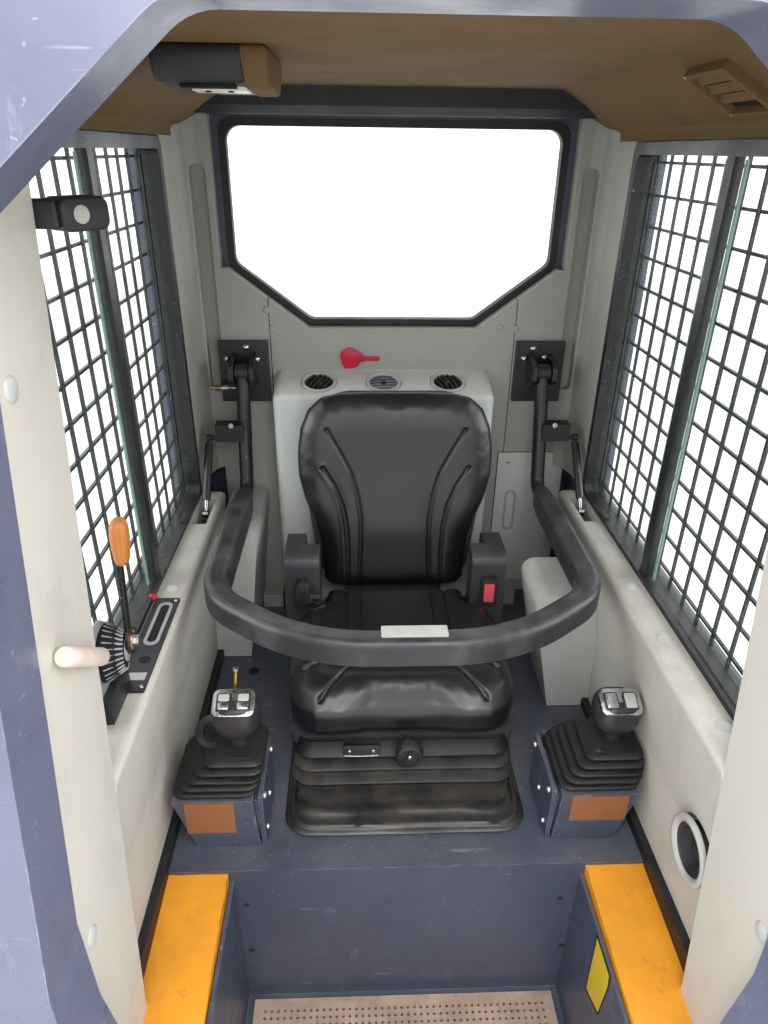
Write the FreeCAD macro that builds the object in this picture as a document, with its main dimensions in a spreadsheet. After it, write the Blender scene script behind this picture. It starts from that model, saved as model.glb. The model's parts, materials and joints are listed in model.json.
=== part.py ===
"""Operator cab of a skid steer loader: shell, trims, windows, seat, controls and restraint bar.

Millimetres, +Z up, the open front faces -Y, the origin is at the middle of the base.
"""
import FreeCAD, Part
import Sketcher
import math
import os

V = FreeCAD.Vector
doc = FreeCAD.newDocument("operator_cab")
sheet = doc.addObject("Spreadsheet::Sheet", "Sizes")

# Driving dimensions: name, millimetres unless said, what it measures
SIZES = [
    ("cab_half_width", 520, "outer half width of the shell"),
    ("cab_half_length", 700, "half length over the front pillars and rear posts"),
    ("cab_height", 1720, "base to roof top"),
    ("shell_wall", 50, "thickness of a side frame"),
    ("roof_thickness", 55, "roof plate with its pressed rim"),
    ("channel_pitch", 220, "pressed channels of the roof, one to the next"),
    ("channel_width", 100, "pressed channel of the roof"),
    ("channel_depth", 10, "pressed channel of the roof"),
    ("channel_border", 90, "roof left flat before and behind the channels"),
    ("portal_depth", 80, "front pillar, front to back"),
    ("portal_half_opening", 400, "half width of the front opening"),
    ("portal_head", 1625, "height of the header's lower edge"),
    ("portal_threshold", 130, "height of the step over plate"),
    ("portal_knee", 660, "height where the pillars start to lean back"),
    ("portal_gusset_rise", 165, "upper corner gusset, down the pillar"),
    ("portal_gusset_run", 188, "upper corner gusset, along the header"),
    ("portal_flare_top", 760, "height where the pillars start to flare inwards"),
    ("portal_flare_base", 430, "height where the flare ends"),
    ("portal_flare_run", 48, "how far the flare comes in"),
    ("portal_corner", 60, "corner radius of the front opening"),
    ("portal_press", 22, "pressed edge radius of the pillars"),
    ("front_lean", 0.2, "run per rise of the leaning pillars, a ratio"),
    ("rear_post_depth", 100, "rear post, front to back"),
    ("rear_post_width", 90, "rear post, across"),
    ("rear_wall", 40, "rear wall between the posts"),
    ("rear_rail", 60, "lower and upper rail of the rear frame"),
    ("platform_top", 420, "seat platform above the base"),
    ("plate", 8, "platform and riser plate"),
    ("footwell_length", 322, "front portal to the riser"),
    ("footwell_half_width", 305, "inside half width of the footwell"),
    ("footwell_floor", 46, "footwell floor above the base"),
    ("footwell_plate", 6, "footwell side and floor plate"),
    ("footwell_side_top", 392, "top of the footwell side plates"),
    ("mat_thickness", 8, "perforated footwell mat"),
    ("mat_corner", 20, "corner radius of the mat"),
    ("mat_border", 14, "floor left bare round the mat"),
    ("side_box_rear", 414, "top of a side box at the riser"),
    ("side_box_front", 396, "top of a side box at the pillar"),
    ("side_box_gap", 2, "side box to footwell plate"),
    ("sill_foot", 430, "sill trim's foot from the middle"),
    ("sill_knee", 424, "sill trim's side at the knee, from the middle"),
    ("sill_knee_height", 600, "height of the knee"),
    ("sill_edge", 397, "sill trim's inner edge from the middle"),
    ("sill_top", 807, "height of the sill"),
    ("sill_round", 12, "rounded inner edge of the sill"),
    ("trim_foot_depth", 120, "pillar trim's rear edge at the platform, behind the portal"),
    ("trim_lean", 0.154, "run per rise of the pillar trim's rear edge, a ratio"),
    ("window_low", 797, "lower edge of the side window opening"),
    ("window_high", 1548, "upper edge of the side window opening"),
    ("window_rear_depth", 190, "side window opening to the rear posts"),
    ("window_cover", 12, "pillar trim over the front of the window opening"),
    ("window_corner", 20, "corner radius of the side window opening"),
    ("window_frame_face", 20, "face width of the side window frame"),
    ("window_frame_depth", 34, "side window frame, across the cab"),
    ("window_frame_inset", 452, "inner face of the side window frame from the middle"),
    ("window_clearance", 0.5, "side window frame in its opening"),
    ("pane", 5, "side pane thickness"),
    ("stile", 24, "upright bar of a sliding pane"),
    ("stile_depth", 11, "upright bar, across the cab"),
    ("pane_meeting", 26, "middle of the two sliding panes, along Y"),
    ("guard_inner", 491, "inner face of the mesh guard from the middle"),
    ("guard_wire", 5, "wire of the mesh guard"),
    ("guard_rim", 14, "flat rim of the mesh guard"),
    ("guard_pitch", 57, "spacing of the mesh guard's wires"),
    ("rear_glass_half_top", 377, "rear window, half width above the chamfers"),
    ("rear_glass_half_base", 198, "rear window, half width at the bottom"),
    ("rear_glass_top", 1588, "rear window top"),
    ("rear_glass_side", 1290, "height where the chamfers start"),
    ("rear_glass_base", 1156, "rear window bottom"),
    ("rear_glass_corner", 30, "corner radius of the rear window"),
    ("rear_seal", 16, "face width of the rear window's rubber"),
    ("rear_seal_depth", 24, "rear window's rubber, front to back"),
    ("rear_glass_thickness", 6, "rear window glass"),
    ("rear_trim", 38, "rear trim in front of the rear wall"),
    ("seam_half", 288, "seam between centre and corner trims from the middle"),
    ("seam_gap", 2, "open seam between trims"),
    ("corner_face_low", 392, "corner trim's edge beside the rear window"),
    ("recess_depth", 16, "pressed recess in the corner trims"),
    ("recess_low", 1010, "lower end of the recess"),
    ("recess_high", 1500, "upper end of the recess"),
    ("shelf_left", -281, "vent shelf, left side"),
    ("shelf_right", 235, "vent shelf, right side"),
    ("shelf_depth", 105, "vent shelf, front to back"),
    ("shelf_lip", 1027, "height of the vent shelf's front lip"),
    ("shelf_back", 1060, "height of the vent shelf at the wall"),
    ("shelf_round", 14, "rounded edges of the vent shelf"),
    ("vent_radius", 41, "round air vent"),
    ("vent_spacing", 152, "one vent to the next"),
    ("vent_share", 0.5, "how far up the slope the vents sit, a ratio"),
    ("vent_proud", 5, "vent's rim above the shelf"),
    ("shelf_side_round", 20, "rounded sides of the vent shelf"),
    ("vent_recess", 14, "depth of a vent's seat"),
    ("vent_rim", 7, "rim width of a vent"),
    ("rear_box_round", 30, "rounded edges of the rear side boxes"),
    ("left_box_depth", 280, "left rear box, front to back"),
    ("left_box_foot", 349, "left rear box, inner side at the platform from the middle"),
    ("left_box_top", 755, "left rear box, top"),
    ("right_box_set_back", 468, "right rear box, its front before the rear trim"),
    ("right_box_foot", 338, "right rear box, inner side at the platform from the middle"),
    ("right_box_top", 716, "right rear box, top"),
    ("left_box_shoulder", 312, "left rear box, inner side at its top from the middle"),
    ("right_box_shoulder", 279, "right rear box, inner side at its top from the middle"),
    ("right_box_depth", 156, "right rear box, front to back"),
    ("ledge_depth", 72, "low ledge in front of the corner trim, front to back"),
    ("ledge_height", 38, "low ledge above the platform"),
    ("ledge_width", 52, "low ledge, across"),
    ("liner_low", 1640, "headliner's flat underside"),
    ("liner_side", 1550, "headliner's lower edge at the windows"),
    ("liner_crease", 40, "headliner's rounded crease beyond its flat part"),
    ("liner_crease_round", 60, "radius of that crease"),
    ("liner_lip", 18, "upright lip along the headliner's sides"),
    ("liner_flat", 285, "half width of the headliner's flat part"),
    ("band_depth", 95, "dark rear band, front to back"),
    ("band_half_width", 436, "dark rear band in front of the corner trims, half width"),
    ("band_slope_run", 22, "sloping lower edge of the band, front to back"),
    ("band_slope_rise", 14, "sloping lower edge of the band, high"),
    ("band_low", 1592, "lower edge of the dark rear band"),
    ("edge_rail", 14, "rubber rail at the foot of the sill trims"),
    ("edge_rail_top", 441, "top of the rubber rail"),
    ("seat_half_width", 228, "half width of the cushion"),
    ("seat_front", -100, "front of the cushion, along Y"),
    ("seat_rear", 295, "rear of the cushion, along Y"),
    ("seat_waist", 168, "half width of the cushion between the belt housings"),
    ("cushion_corner", 46, "front corners of the cushion"),
    ("cushion_waist_gap", 12, "cushion's narrowing before the belt housings"),
    ("cushion_waist_run", 60, "length over which the cushion narrows"),
    ("cushion_low", 512, "underside of the cushion"),
    ("cushion_high", 634, "top of the cushion"),
    ("cushion_round", 24, "bevelled upper edge of the plain cushion"),
    ("backrest_low", 600, "bottom of the backrest"),
    ("backrest_length", 465, "backrest, along its own height"),
    ("backrest_half_low", 185, "half width of the backrest at the bottom"),
    ("backrest_half_wide", 222, "widest half width of the backrest"),
    ("backrest_half_top", 182, "half width of the backrest near its top"),
    ("backrest_wide_at", 295, "height of the widest place above its bottom"),
    ("backrest_front", 302, "foot of the backrest's face, along Y"),
    ("backrest_depth", 72, "backrest, front to back"),
    ("backrest_round_low", 40, "lower corners of the backrest"),
    ("backrest_round_side", 150, "rounded sides of the backrest at its widest"),
    ("backrest_round_top", 100, "upper corners of the backrest"),
    ("backrest_edge", 20, "bevelled edge of the plain backrest"),
    ("backrest_tilt", 6, "backrest leans back, degrees"),
    ("shell_thickness", 12, "moulded shell behind the backrest"),
    ("shell_clearance", 0.3, "shell to cushion and backrest"),
    ("pan_thickness", 20, "moulded pan under the cushion"),
    ("wing_outer", 250, "outer side of the belt housings from the middle"),
    ("wing_inner", 172, "inner side of the belt housings from the middle"),
    ("wing_front", 240, "front of the belt housings, along Y"),
    ("pan_rear", 398, "rear of the moulded pan, along Y"),
    ("pan_corner", 20, "corners of the moulded pan"),
    ("pan_set_in", 8, "moulded pan inside the cushion's sides"),
    ("pan_front_gap", 22, "moulded pan behind the cushion's front"),
    ("runner_half_width", 18, "seat runner, half width"),
    ("runner_inset", 20, "seat runner inside the rail's ends"),
    ("spine_half_width", 120, "spine that carries the backrest's shell, half width"),
    ("spine_reach", 92, "spine below and above the backrest's foot"),
    ("wing_round", 26, "rounded tops of the belt housings"),
    ("wing_depth", 60, "belt housing beside the cushion, front to back"),
    ("wing_rear_inner", 208, "inner side of the belt housings behind the backrest's face"),
    ("wing_top", 725, "top of the belt housings"),
    ("bellows_top", 477, "top of the suspension bellows"),
    ("bellows_lip", -118, "upper lip of the bellows, along Y"),
    ("bellows_rear", 250, "rear of the bellows, along Y"),
    ("rail_half_spacing", 150, "middle of a seat rail from the middle"),
    ("rail_width", 30, "seat rail, across"),
    ("rail_height", 9, "seat rail, high"),
    ("rail_front", -50, "front end of the seat rails, along Y"),
    ("rail_rear", 250, "rear end of the seat rails, along Y"),
    ("running_gap", 0.4, "runner over rail"),
    ("knob_radius", 26, "seat adjusting knob"),
    ("knob_across", 11, "seat adjusting knob from the middle"),
    ("knob_depth", 24, "seat adjusting knob, front to back"),
    ("knob_stem", 8.5, "stem of the adjusting knob, radius"),
    ("belt_drop", 50, "top of the belt parts below the belt housings' top"),
    ("belt_height", 66, "belt retractor and buckle, high"),
    ("belt_half_width", 18, "belt retractor and buckle, half width"),
    ("belt_depth", 24, "belt retractor and buckle, front to back"),
    ("pod_height", 115, "joystick pod"),
    ("pod_front", -250, "front of the joystick pods, along Y"),
    ("pod_foot_width", 110, "joystick pod at the platform, across"),
    ("pod_foot_depth", 120, "joystick pod at the platform, front to back"),
    ("pod_plate", 7, "inner side plate of a pod"),
    ("pod_plate_gap", 3, "spacers between a pod and its side plate"),
    ("pod_plate_border", 12, "side plate round its spacer"),
    ("pod_plate_depth", 136, "side plate of a pod, front to back"),
    ("pod_inner", 262, "inner side of a pod from the middle"),
    ("stick_across", 338, "middle of a joystick boot from the middle"),
    ("stick_along", -172, "middle of a joystick boot, along Y"),
    ("boot_step", 12, "height of one fold of a boot"),
    ("boot_half", 66, "half width of the lowest fold"),
    ("boot_taper", 7.8, "how much narrower each fold is"),
    ("grip_height", 108, "joystick grip"),
    ("grip_half", 42, "half width of a grip"),
    ("pivot_reach", 62, "bar pivot in front of the rear trim"),
    ("pivot_height", 1070, "bar pivot above the base"),
    ("bracket_inner", 294, "bar bracket, inner side from the middle"),
    ("bracket_outer", 410, "bar bracket, outer side from the middle"),
    ("bracket_low", 985, "bar bracket, lower edge"),
    ("bracket_high", 1130, "bar bracket, upper edge"),
    ("bracket_plate", 16, "bar bracket plate"),
    ("cheek", 10, "cheek of a bar bracket"),
    ("cheek_gap", 36, "gap between a bracket's cheeks"),
    ("cheek_reach", 24, "cheek in front of the pivot"),
    ("pivot_pin", 8, "bar pivot pin, radius"),
    ("pin_clearance", 0.05, "running clearance on a pin or rod, radius"),
    ("arm_across", 350, "bar arm from the middle"),
    ("arm_radius", 16, "bar arm tube, radius"),
    ("arm_bend", 34, "bend radius of a bar arm"),
    ("arm_level_run", 45, "level run of a bar arm behind the hoop's end"),
    ("lug_high", 40, "strut's block on a bar arm, high"),
    ("lug_deep", 38, "strut's block on a bar arm, front to back"),
    ("lug_side", 415, "outer side of the strut's block from the middle"),
    ("lug_pin", 4, "strut's pins, radius"),
    ("lug_gap", 0.3, "strut's end piece to its lug"),
    ("boss_radius", 20, "boss of a bar arm at its pivot"),
    ("boss_width", 29, "boss of a bar arm, across"),
    ("hoop_height", 806, "middle of the hoop above the base"),
    ("hoop_rear_reach", 115, "rear end of the hoop in front of the bar pivot"),
    ("hoop_corner_along", -33, "corner of the hoop's path, along Y"),
    ("hoop_front_across", 171, "front corner of the hoop's path from the middle"),
    ("hoop_front", -176, "front run of the hoop's path, along Y"),
    ("hoop_bend", 130, "bend radius at the hoop's sides"),
    ("hoop_front_bend", 320, "bend radius at the hoop's front"),
    ("hoop_section", 46, "hoop, wide and high"),
    ("hoop_neck", 36, "hoop, wide at its rear ends"),
    ("hoop_neck_run", 60, "length over which the hoop widens"),
    ("hoop_round", 14, "rounded edges of the hoop"),
    ("strut_across", 430, "gas strut from the middle"),
    ("strut_upper_reach", 55, "strut's upper pin in front of the bar pivot"),
    ("strut_upper_height", 930, "strut's upper pin above the base"),
    ("strut_lower_reach", 175, "strut's lower pin in front of the bar pivot"),
    ("strut_foot_drop", 15, "strut's lower pin below the sill's top"),
    ("notch_front", 75, "notch of a strut's foot in the sill, in front of the pin"),
    ("notch_rear", 45, "notch of a strut's foot in the sill, behind the pin"),
    ("notch_depth", 48, "notch of a strut's foot below the sill's top"),
    ("notch_half_width", 16, "notch of a strut's foot, half width"),
    ("strut_radius", 9, "gas strut, cylinder radius"),
    ("strut_rod", 4, "gas strut, rod radius"),
    ("strut_length", 150, "gas strut, upper pin to the cylinder's mouth"),
    ("strut_neck", 14, "gas strut, bare neck below the upper eye"),
    ("strut_bore_top", 32, "gas strut, top of the bore below the upper pin"),
    ("strut_rod_gap", 8, "gas strut, rod's end to the top of the bore"),
    ("foot_half_length", 24, "strut's foot plate, half length"),
    ("foot_plate", 4, "strut's foot plate"),
    ("strut_eye", 8, "gas strut, radius of its end pieces"),
    ("strut_eye_width", 12, "gas strut, width of its end pieces"),
    ("console_low", -280, "console plate, front end along Y"),
    ("console_high", -36, "console plate, rear end along Y"),
    ("console_border", 10, "console plate round its slot"),
    ("console_slot", 92, "slot of the console plate, long"),
    ("console_thickness", 4, "console plate"),
    ("throttle_along", -305, "throttle's axle, along Y"),
    ("throttle_height", 912, "throttle's axle above the base"),
    ("throttle_inner", 406, "inner face of the throttle's drum from the middle"),
    ("throttle_width", 40, "throttle drum, across"),
    ("throttle_barrel", 8, "cable barrel before the drum, radius"),
    ("throttle_hub", 14, "hub of the throttle lever, radius"),
    ("throttle_tilt", 22, "how far the lever leans back at its knob"),
    ("lever_half_width", 6, "throttle lever, half width"),
    ("lever_knob", 15, "throttle knob, half width"),
    ("throttle_drum", 44, "throttle drum, radius"),
    ("throttle_reach", 138, "throttle lever, axle to the knob's middle"),
    ("speaker_along", -412, "loudspeaker, along Y"),
    ("speaker_height", 604, "loudspeaker above the base"),
    ("speaker_radius", 52, "loudspeaker bezel"),
    ("speaker_depth", 30, "loudspeaker, front to back"),
    ("speaker_dish", 10, "depth of the loudspeaker's dish"),
    ("lamp_outer", 330, "ceiling lamp module, outer side from the middle"),
    ("lamp_inner", 190, "ceiling lamp module, inner side from the middle"),
    ("lamp_front", -100, "ceiling lamp module, front along Y"),
    ("lamp_rear", 50, "ceiling lamp module, lower rear edge along Y"),
    ("lamp_drop_front", 30, "ceiling lamp module below the headliner, at its front"),
    ("lamp_drop_rear", 44, "ceiling lamp module below the headliner, at its rear"),
    ("louvre_half_width", 46, "ceiling louvre, half width down the shoulder"),
    ("louvre_half_length", 58, "ceiling louvre, half length along the cab"),
    ("louvre_thickness", 9, "ceiling louvre"),
    ("louvre_border", 12, "rim of the ceiling louvre"),
    ("louvre_share", 0.47, "how far down the shoulder the louvre sits, a ratio"),
    ("louvre_along", -94, "middle of the ceiling louvre, along Y"),
    ("pod_lamp_height", 1468, "lamp pod on the left pillar trim"),
    ("pod_lamp_stalk", 9, "stalk of the lamp pod, radius"),
    ("pod_lamp_reach", 40, "stalk of the lamp pod, long"),
    ("pod_lamp_width", 64, "head of the lamp pod, across"),
    ("pod_lamp_depth", 40, "head of the lamp pod, front to back"),
    ("pull_left", 126, "pull tag, left end from the middle"),
    ("pull_right", 30, "pull tag, right end from the middle"),
    ("pull_drop", 34, "pull tag below the rear window"),
    ("pull_height", 60, "pull tag, high"),
    ("pull_thickness", 5, "pull tag"),
    ("speaker_face", 410, "face of the loudspeaker from the middle"),
    ("bolt_hole", 9, "front mounting hole, radius"),
    ("bolt_hole_inset", 60, "front mounting hole from the shell's side"),
    ("bolt_hole_depth", 60, "front mounting hole"),
    ("tilt_bore", 12.5, "rear tilt pivot bore, radius"),
    ("tilt_height", 110, "rear tilt pivot above the base"),
]
for row, (alias, value, meaning) in enumerate(SIZES, start=1):
    sheet.set(f"A{row}", str(value))
    sheet.set(f"B{row}", meaning)
    sheet.setAlias(f"A{row}", alias)
doc.recompute()


class Size:
    """A length that carries its value and the expression that binds it to the sheet."""

    def __init__(self, value, text):
        self.value = float(value)
        self.text = text

    def __add__(self, other):
        other = as_size(other)
        return Size(self.value + other.value, f"({self.text} + {other.text})")

    def __radd__(self, other):
        return as_size(other) + self

    def __sub__(self, other):
        other = as_size(other)
        return Size(self.value - other.value, f"({self.text} - {other.text})")

    def __rsub__(self, other):
        return as_size(other) - self

    def __mul__(self, other):
        other = as_size(other)
        return Size(self.value * other.value, f"({self.text} * {other.text})")

    def __rmul__(self, other):
        return as_size(other) * self

    def __truediv__(self, other):
        other = as_size(other)
        return Size(self.value / other.value, f"({self.text} / {other.text})")

    def __neg__(self):
        return Size(-self.value, f"(0 - {self.text})")


def as_size(number):
    """A plain number as a Size; a Size as it is."""
    if isinstance(number, Size):
        return number
    return Size(number, f"({number!r})")


def size(alias):
    """The named cell of the sheet."""
    return Size(sheet.get(alias), f"Sizes.{alias}")


def root_of_squares(first, second):
    """The long side of a right triangle with these short sides."""
    text = f"sqrt({first.text} * {first.text} + {second.text} * {second.text})"
    return Size(math.hypot(first.value, second.value), text)


parts = {}


def keep(label, made):
    """Name a finished sub-part and put it on the list that is written out."""
    made.Label = label
    parts[label] = made
    return made


def keep_pair(label, build):
    """Build a piece for both sides and keep the two as one sub-part."""
    pair = doc.addObject("Part::Compound", f"{label}_pair")
    pair.Links = [build(name, side) for name, side in SIDES]
    return keep(label, pair)


def bind(made, prop, length):
    """Bind one property of an object to the sheet."""
    made.setExpression(prop, as_size(length).text)


# Planes of a body: role, and whether a sketch's normal points along the plus axis
PLANES = {"XY": ("XY_Plane", 1), "XZ": ("XZ_Plane", -1), "YZ": ("YZ_Plane", 1)}


def new_body(name):
    """An empty body."""
    return doc.addObject("PartDesign::Body", name)


def outline(body, plane, offset, corners, closed=True):
    """A sketch of straight runs on a plane of the body.

    Each corner is (across, up) or (across, up, radius), and a radius rounds it.
    """
    role, sense = PLANES[plane]
    origin = [o for o in body.Origin.OriginFeatures if o.Role == role][0]
    sketch = body.newObject("Sketcher::SketchObject", "outline")
    sketch.AttachmentSupport = [(origin, "")]
    sketch.MapMode = "FlatFace"
    bind(sketch, "AttachmentOffset.Base.z", as_size(offset) * sense)
    add_outline(sketch, corners, closed)
    return sketch


def add_outline(sketch, corners, closed=True):
    """Add one run of straight edges with rounded corners to a sketch."""
    corners = [tuple(as_size(part) for part in corner) for corner in corners]
    count = len(corners)
    runs = count if closed else count - 1
    first = len(sketch.Geometry)
    for i in range(runs):
        start, end = corners[i], corners[(i + 1) % count]
        line = Part.LineSegment(V(start[0].value, start[1].value, 0), V(end[0].value, end[1].value, 0))
        sketch.addGeometry(line, False)
    for i in range(runs - (0 if closed else 1)):
        join = Sketcher.Constraint("Coincident", first + i, 2, first + (i + 1) % runs, 1)
        sketch.addConstraint(join)
    for i in range(count):
        geometry, end = (first + i, 1) if i < runs else (first + i - 1, 2)
        for kind, place in (("DistanceX", corners[i][0]), ("DistanceY", corners[i][1])):
            index = sketch.addConstraint(Sketcher.Constraint(kind, -1, 1, geometry, end, place.value))
            sketch.setExpression(f"Constraints[{index}]", place.text)
    for i in range(count):
        if len(corners[i]) == 3:
            before = len(sketch.Geometry)
            sketch.fillet(first + i, 1, corners[i][2].value, True, True)
            arc = [k for k in range(before, len(sketch.Geometry))
                   if isinstance(sketch.Geometry[k], Part.ArcOfCircle)][0]
            index = sketch.addConstraint(Sketcher.Constraint("Radius", arc, corners[i][2].value))
            sketch.setExpression(f"Constraints[{index}]", corners[i][2].text)


def circle(body, plane, offset, across, up, radius):
    """A sketch of one circle on a plane of the body."""
    role, sense = PLANES[plane]
    origin = [o for o in body.Origin.OriginFeatures if o.Role == role][0]
    sketch = body.newObject("Sketcher::SketchObject", "circle")
    sketch.AttachmentSupport = [(origin, "")]
    sketch.MapMode = "FlatFace"
    bind(sketch, "AttachmentOffset.Base.z", as_size(offset) * sense)
    across, up, radius = as_size(across), as_size(up), as_size(radius)
    sketch.addGeometry(Part.Circle(V(across.value, up.value, 0), V(0, 0, 1), radius.value), False)
    for kind, place in (("DistanceX", across), ("DistanceY", up)):
        index = sketch.addConstraint(Sketcher.Constraint(kind, -1, 1, 0, 3, place.value))
        sketch.setExpression(f"Constraints[{index}]", place.text)
    index = sketch.addConstraint(Sketcher.Constraint("Radius", 0, radius.value))
    sketch.setExpression(f"Constraints[{index}]", radius.text)
    return sketch


def pad(body, plane, low, high, corners):
    """Pad an outline from low to high along the plane's axis."""
    sense = PLANES[plane][1]
    sketch = outline(body, plane, low if sense > 0 else high, corners)
    return pad_sketch(body, sketch, as_size(high) - low)


def pad_sketch(body, sketch, length):
    """Pad a sketch along its own normal."""
    feature = body.newObject("PartDesign::Pad", "pad")
    feature.Profile = sketch
    bind(feature, "Length", length)
    return feature


def pocket(body, plane, low, high, corners):
    """Cut an outline out of the body from low to high along the plane's axis."""
    sense = PLANES[plane][1]
    sketch = outline(body, plane, high if sense > 0 else low, corners)
    return pocket_sketch(body, sketch, as_size(high) - low)


def pocket_sketch(body, sketch, length):
    """Cut a sketch out of the body, against its own normal, and see that it cuts."""
    doc.recompute()
    before = body.Shape.Volume
    feature = body.newObject("PartDesign::Pocket", "pocket")
    feature.Profile = sketch
    bind(feature, "Length", length)
    doc.recompute()
    if body.Shape.Volume >= before:
        raise RuntimeError(f"a pocket of {body.Name} cuts nothing")
    return feature


def round_edges(body, radius, wanted, kind="Fillet"):
    """Fillet or bevel the edges of the body's tip that the test picks by middle point and direction."""
    doc.recompute()
    tip = body.Tip
    names = []
    for number, edge in enumerate(tip.Shape.Edges, start=1):
        middle = edge.valueAt((edge.FirstParameter + edge.LastParameter) / 2)
        run = edge.Vertexes[-1].Point - edge.Vertexes[0].Point
        if wanted(middle, run, edge):
            names.append(f"Edge{number}")
    if not names:
        raise RuntimeError(f"no edge of {body.Name} to round")
    feature = body.newObject(f"PartDesign::{kind}", kind.lower())
    feature.Base = (tip, names)
    bind(feature, "Radius" if kind == "Fillet" else "Size", radius)
    return feature


def box(name, low, high):
    """A box between two corners, each side bound to the sheet."""
    made = doc.addObject("Part::Box", name)
    for prop, a, b in zip(("Length", "Width", "Height"), low, high):
        bind(made, prop, as_size(b) - a)
    for prop, a in zip(("x", "y", "z"), low):
        bind(made, f"Placement.Base.{prop}", a)
    return made


# Turns that lay a cylinder's own Z along an axis
TURNS = {
    "X": FreeCAD.Rotation(V(0, 1, 0), 90),
    "Y": FreeCAD.Rotation(V(1, 0, 0), -90),
    "Z": FreeCAD.Rotation(),
}


def rod(name, axis, start, radius, length):
    """A cylinder from a start point along an axis."""
    made = doc.addObject("Part::Cylinder", name)
    made.Placement = FreeCAD.Placement(V(), TURNS[axis])
    bind(made, "Radius", radius)
    bind(made, "Height", length)
    for prop, a in zip(("x", "y", "z"), start):
        bind(made, f"Placement.Base.{prop}", a)
    return made


def fuse(name, shapes):
    """Several solids as one."""
    made = doc.addObject("Part::MultiFuse", name)
    made.Shapes = shapes
    made.Refine = True
    return made


def cut(name, base, tool):
    """A solid with another taken out of it."""
    made = doc.addObject("Part::Cut", name)
    made.Base = base
    made.Tool = tool
    made.Refine = True
    return made


def loft(body, plane, sections):
    """A straight sided loft through outlines: each section is (offset, corners)."""
    sketches = [outline(body, plane, offset, corners) for offset, corners in sections]
    feature = body.newObject("PartDesign::AdditiveLoft", "loft")
    feature.Profile = sketches[0]
    feature.Sections = sketches[1:]
    feature.Ruled = True
    return feature


def rectangle(low_x, high_x, low_y, high_y, radius=None):
    """Corners of a rectangle, rounded where a radius is given."""
    corners = [(low_x, low_y), (high_x, low_y), (high_x, high_y), (low_x, high_y)]
    return corners if radius is None else [corner + (radius,) for corner in corners]


def cut_rectangle(low_x, high_x, low_y, high_y, corner):
    """Corners of a rectangle with cut off corners."""
    return [
        (low_x + corner, low_y), (high_x - corner, low_y), (high_x, low_y + corner),
        (high_x, high_y - corner), (high_x - corner, high_y), (low_x + corner, high_y),
        (low_x, high_y - corner), (low_x, low_y + corner),
    ]


def span(side, inner, outer):
    """Low and high of a stretch across the cab on one side, -1 left and 1 right."""
    inner, outer = as_size(inner), as_size(outer)
    return (inner, outer) if side > 0 else (-outer, -inner)


SIDES = (("left", -1), ("right", 1))

# Folds of a boot, and how far each boot and each grip leans to the right
BOOT_FOLDS = 5
STICKS = {"left": (0, 30), "right": (26, 6)}

half_width = size("cab_half_width")
half_length = size("cab_half_length")
height = size("cab_height")
shell_inner = half_width - size("shell_wall")
roof_low = height - size("roof_thickness")
portal_front = -half_length
portal_rear = portal_front + size("portal_depth")
knee = size("portal_knee")
rear_inside = half_length - size("rear_post_depth")
rear_trim_face = rear_inside - size("rear_trim")
platform = size("platform_top")
riser = portal_rear + size("footwell_length")
trim_foot = portal_rear + size("trim_foot_depth")
window_rear = rear_inside - size("window_rear_depth")
shelf_front = rear_trim_face - size("shelf_depth")
pivot_along = rear_trim_face - size("pivot_reach")
hoop_rear = pivot_along - size("hoop_rear_reach")
strut_upper = (pivot_along - size("strut_upper_reach"), size("strut_upper_height"))
strut_lower = (pivot_along - size("strut_lower_reach"), size("sill_top") - size("strut_foot_drop"))
left_box_front = rear_trim_face - size("left_box_depth")
right_box_front = rear_trim_face - size("right_box_set_back")


def portal_lean(base, up):
    """Y of the pillars' face that starts at base, at a height above the knee."""
    return base + (as_size(up) - knee) * size("front_lean")


def trim_edge(up):
    """Y of the pillar trim's leaning rear edge at a height."""
    return trim_foot + (as_size(up) - platform) * size("trim_lean")


def mirrored(corners):
    """Corners of a right half from the bottom up, closed with their mirror image."""
    left = [(-as_size(corner[0]),) + tuple(corner[1:]) for corner in reversed(corners)]
    return list(corners) + left


def front_frame():
    """Pressed steel portal: threshold, leaning pillars and header in one."""
    body = new_body("front_frame_body")
    profile = [
        (portal_front, 0),
        (portal_rear, 0),
        (portal_rear, knee),
        (portal_lean(portal_rear, height), height),
        (portal_lean(portal_front, height), height),
        (portal_front, knee),
    ]
    pad(body, "YZ", -half_width, half_width, profile)
    opening = size("portal_half_opening")
    corner = size("portal_corner")
    half = [
        (opening - size("portal_flare_run"), size("portal_threshold"), corner),
        (opening - size("portal_flare_run"), size("portal_flare_base")),
        (opening, size("portal_flare_top")),
        (opening, size("portal_head") - size("portal_gusset_rise"), corner),
        (opening - size("portal_gusset_run"), size("portal_head"), corner),
    ]
    pocket(body, "XZ", -half_length - 10, 0, mirrored(half))

    def outer_front(middle, run, edge):
        face = portal_front.value + max(0.0, middle.z - knee.value) * size("front_lean").value
        return abs(middle.y - face) < 0.5 and abs(abs(middle.x) - half_width.value) < 0.5

    round_edges(body, size("portal_press"), outer_front)
    depth = size("bolt_hole_depth")
    for side in (-1, 1):
        across = (half_width - size("bolt_hole_inset")) * side
        hole = circle(body, "XY", depth, across, portal_front + size("portal_depth") / 2, size("bolt_hole"))
        pocket_sketch(body, hole, depth + 1)
    return keep("front_frame", body)


def side_frame(name, side):
    """Side wall between the portal and the rear posts, with the window opening."""
    body = new_body(f"side_frame_{name}_body")
    low, high = span(side, shell_inner, half_width)
    wall = [
        (portal_rear, 0),
        (rear_inside, 0),
        (rear_inside, roof_low),
        (portal_lean(portal_rear, roof_low), roof_low),
        (portal_rear, knee),
    ]
    pad(body, "YZ", low, high, wall)
    pocket(body, "YZ", low - 1, high + 1, window_outline(0))
    return keep(f"side_frame_{name}", body)


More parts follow.
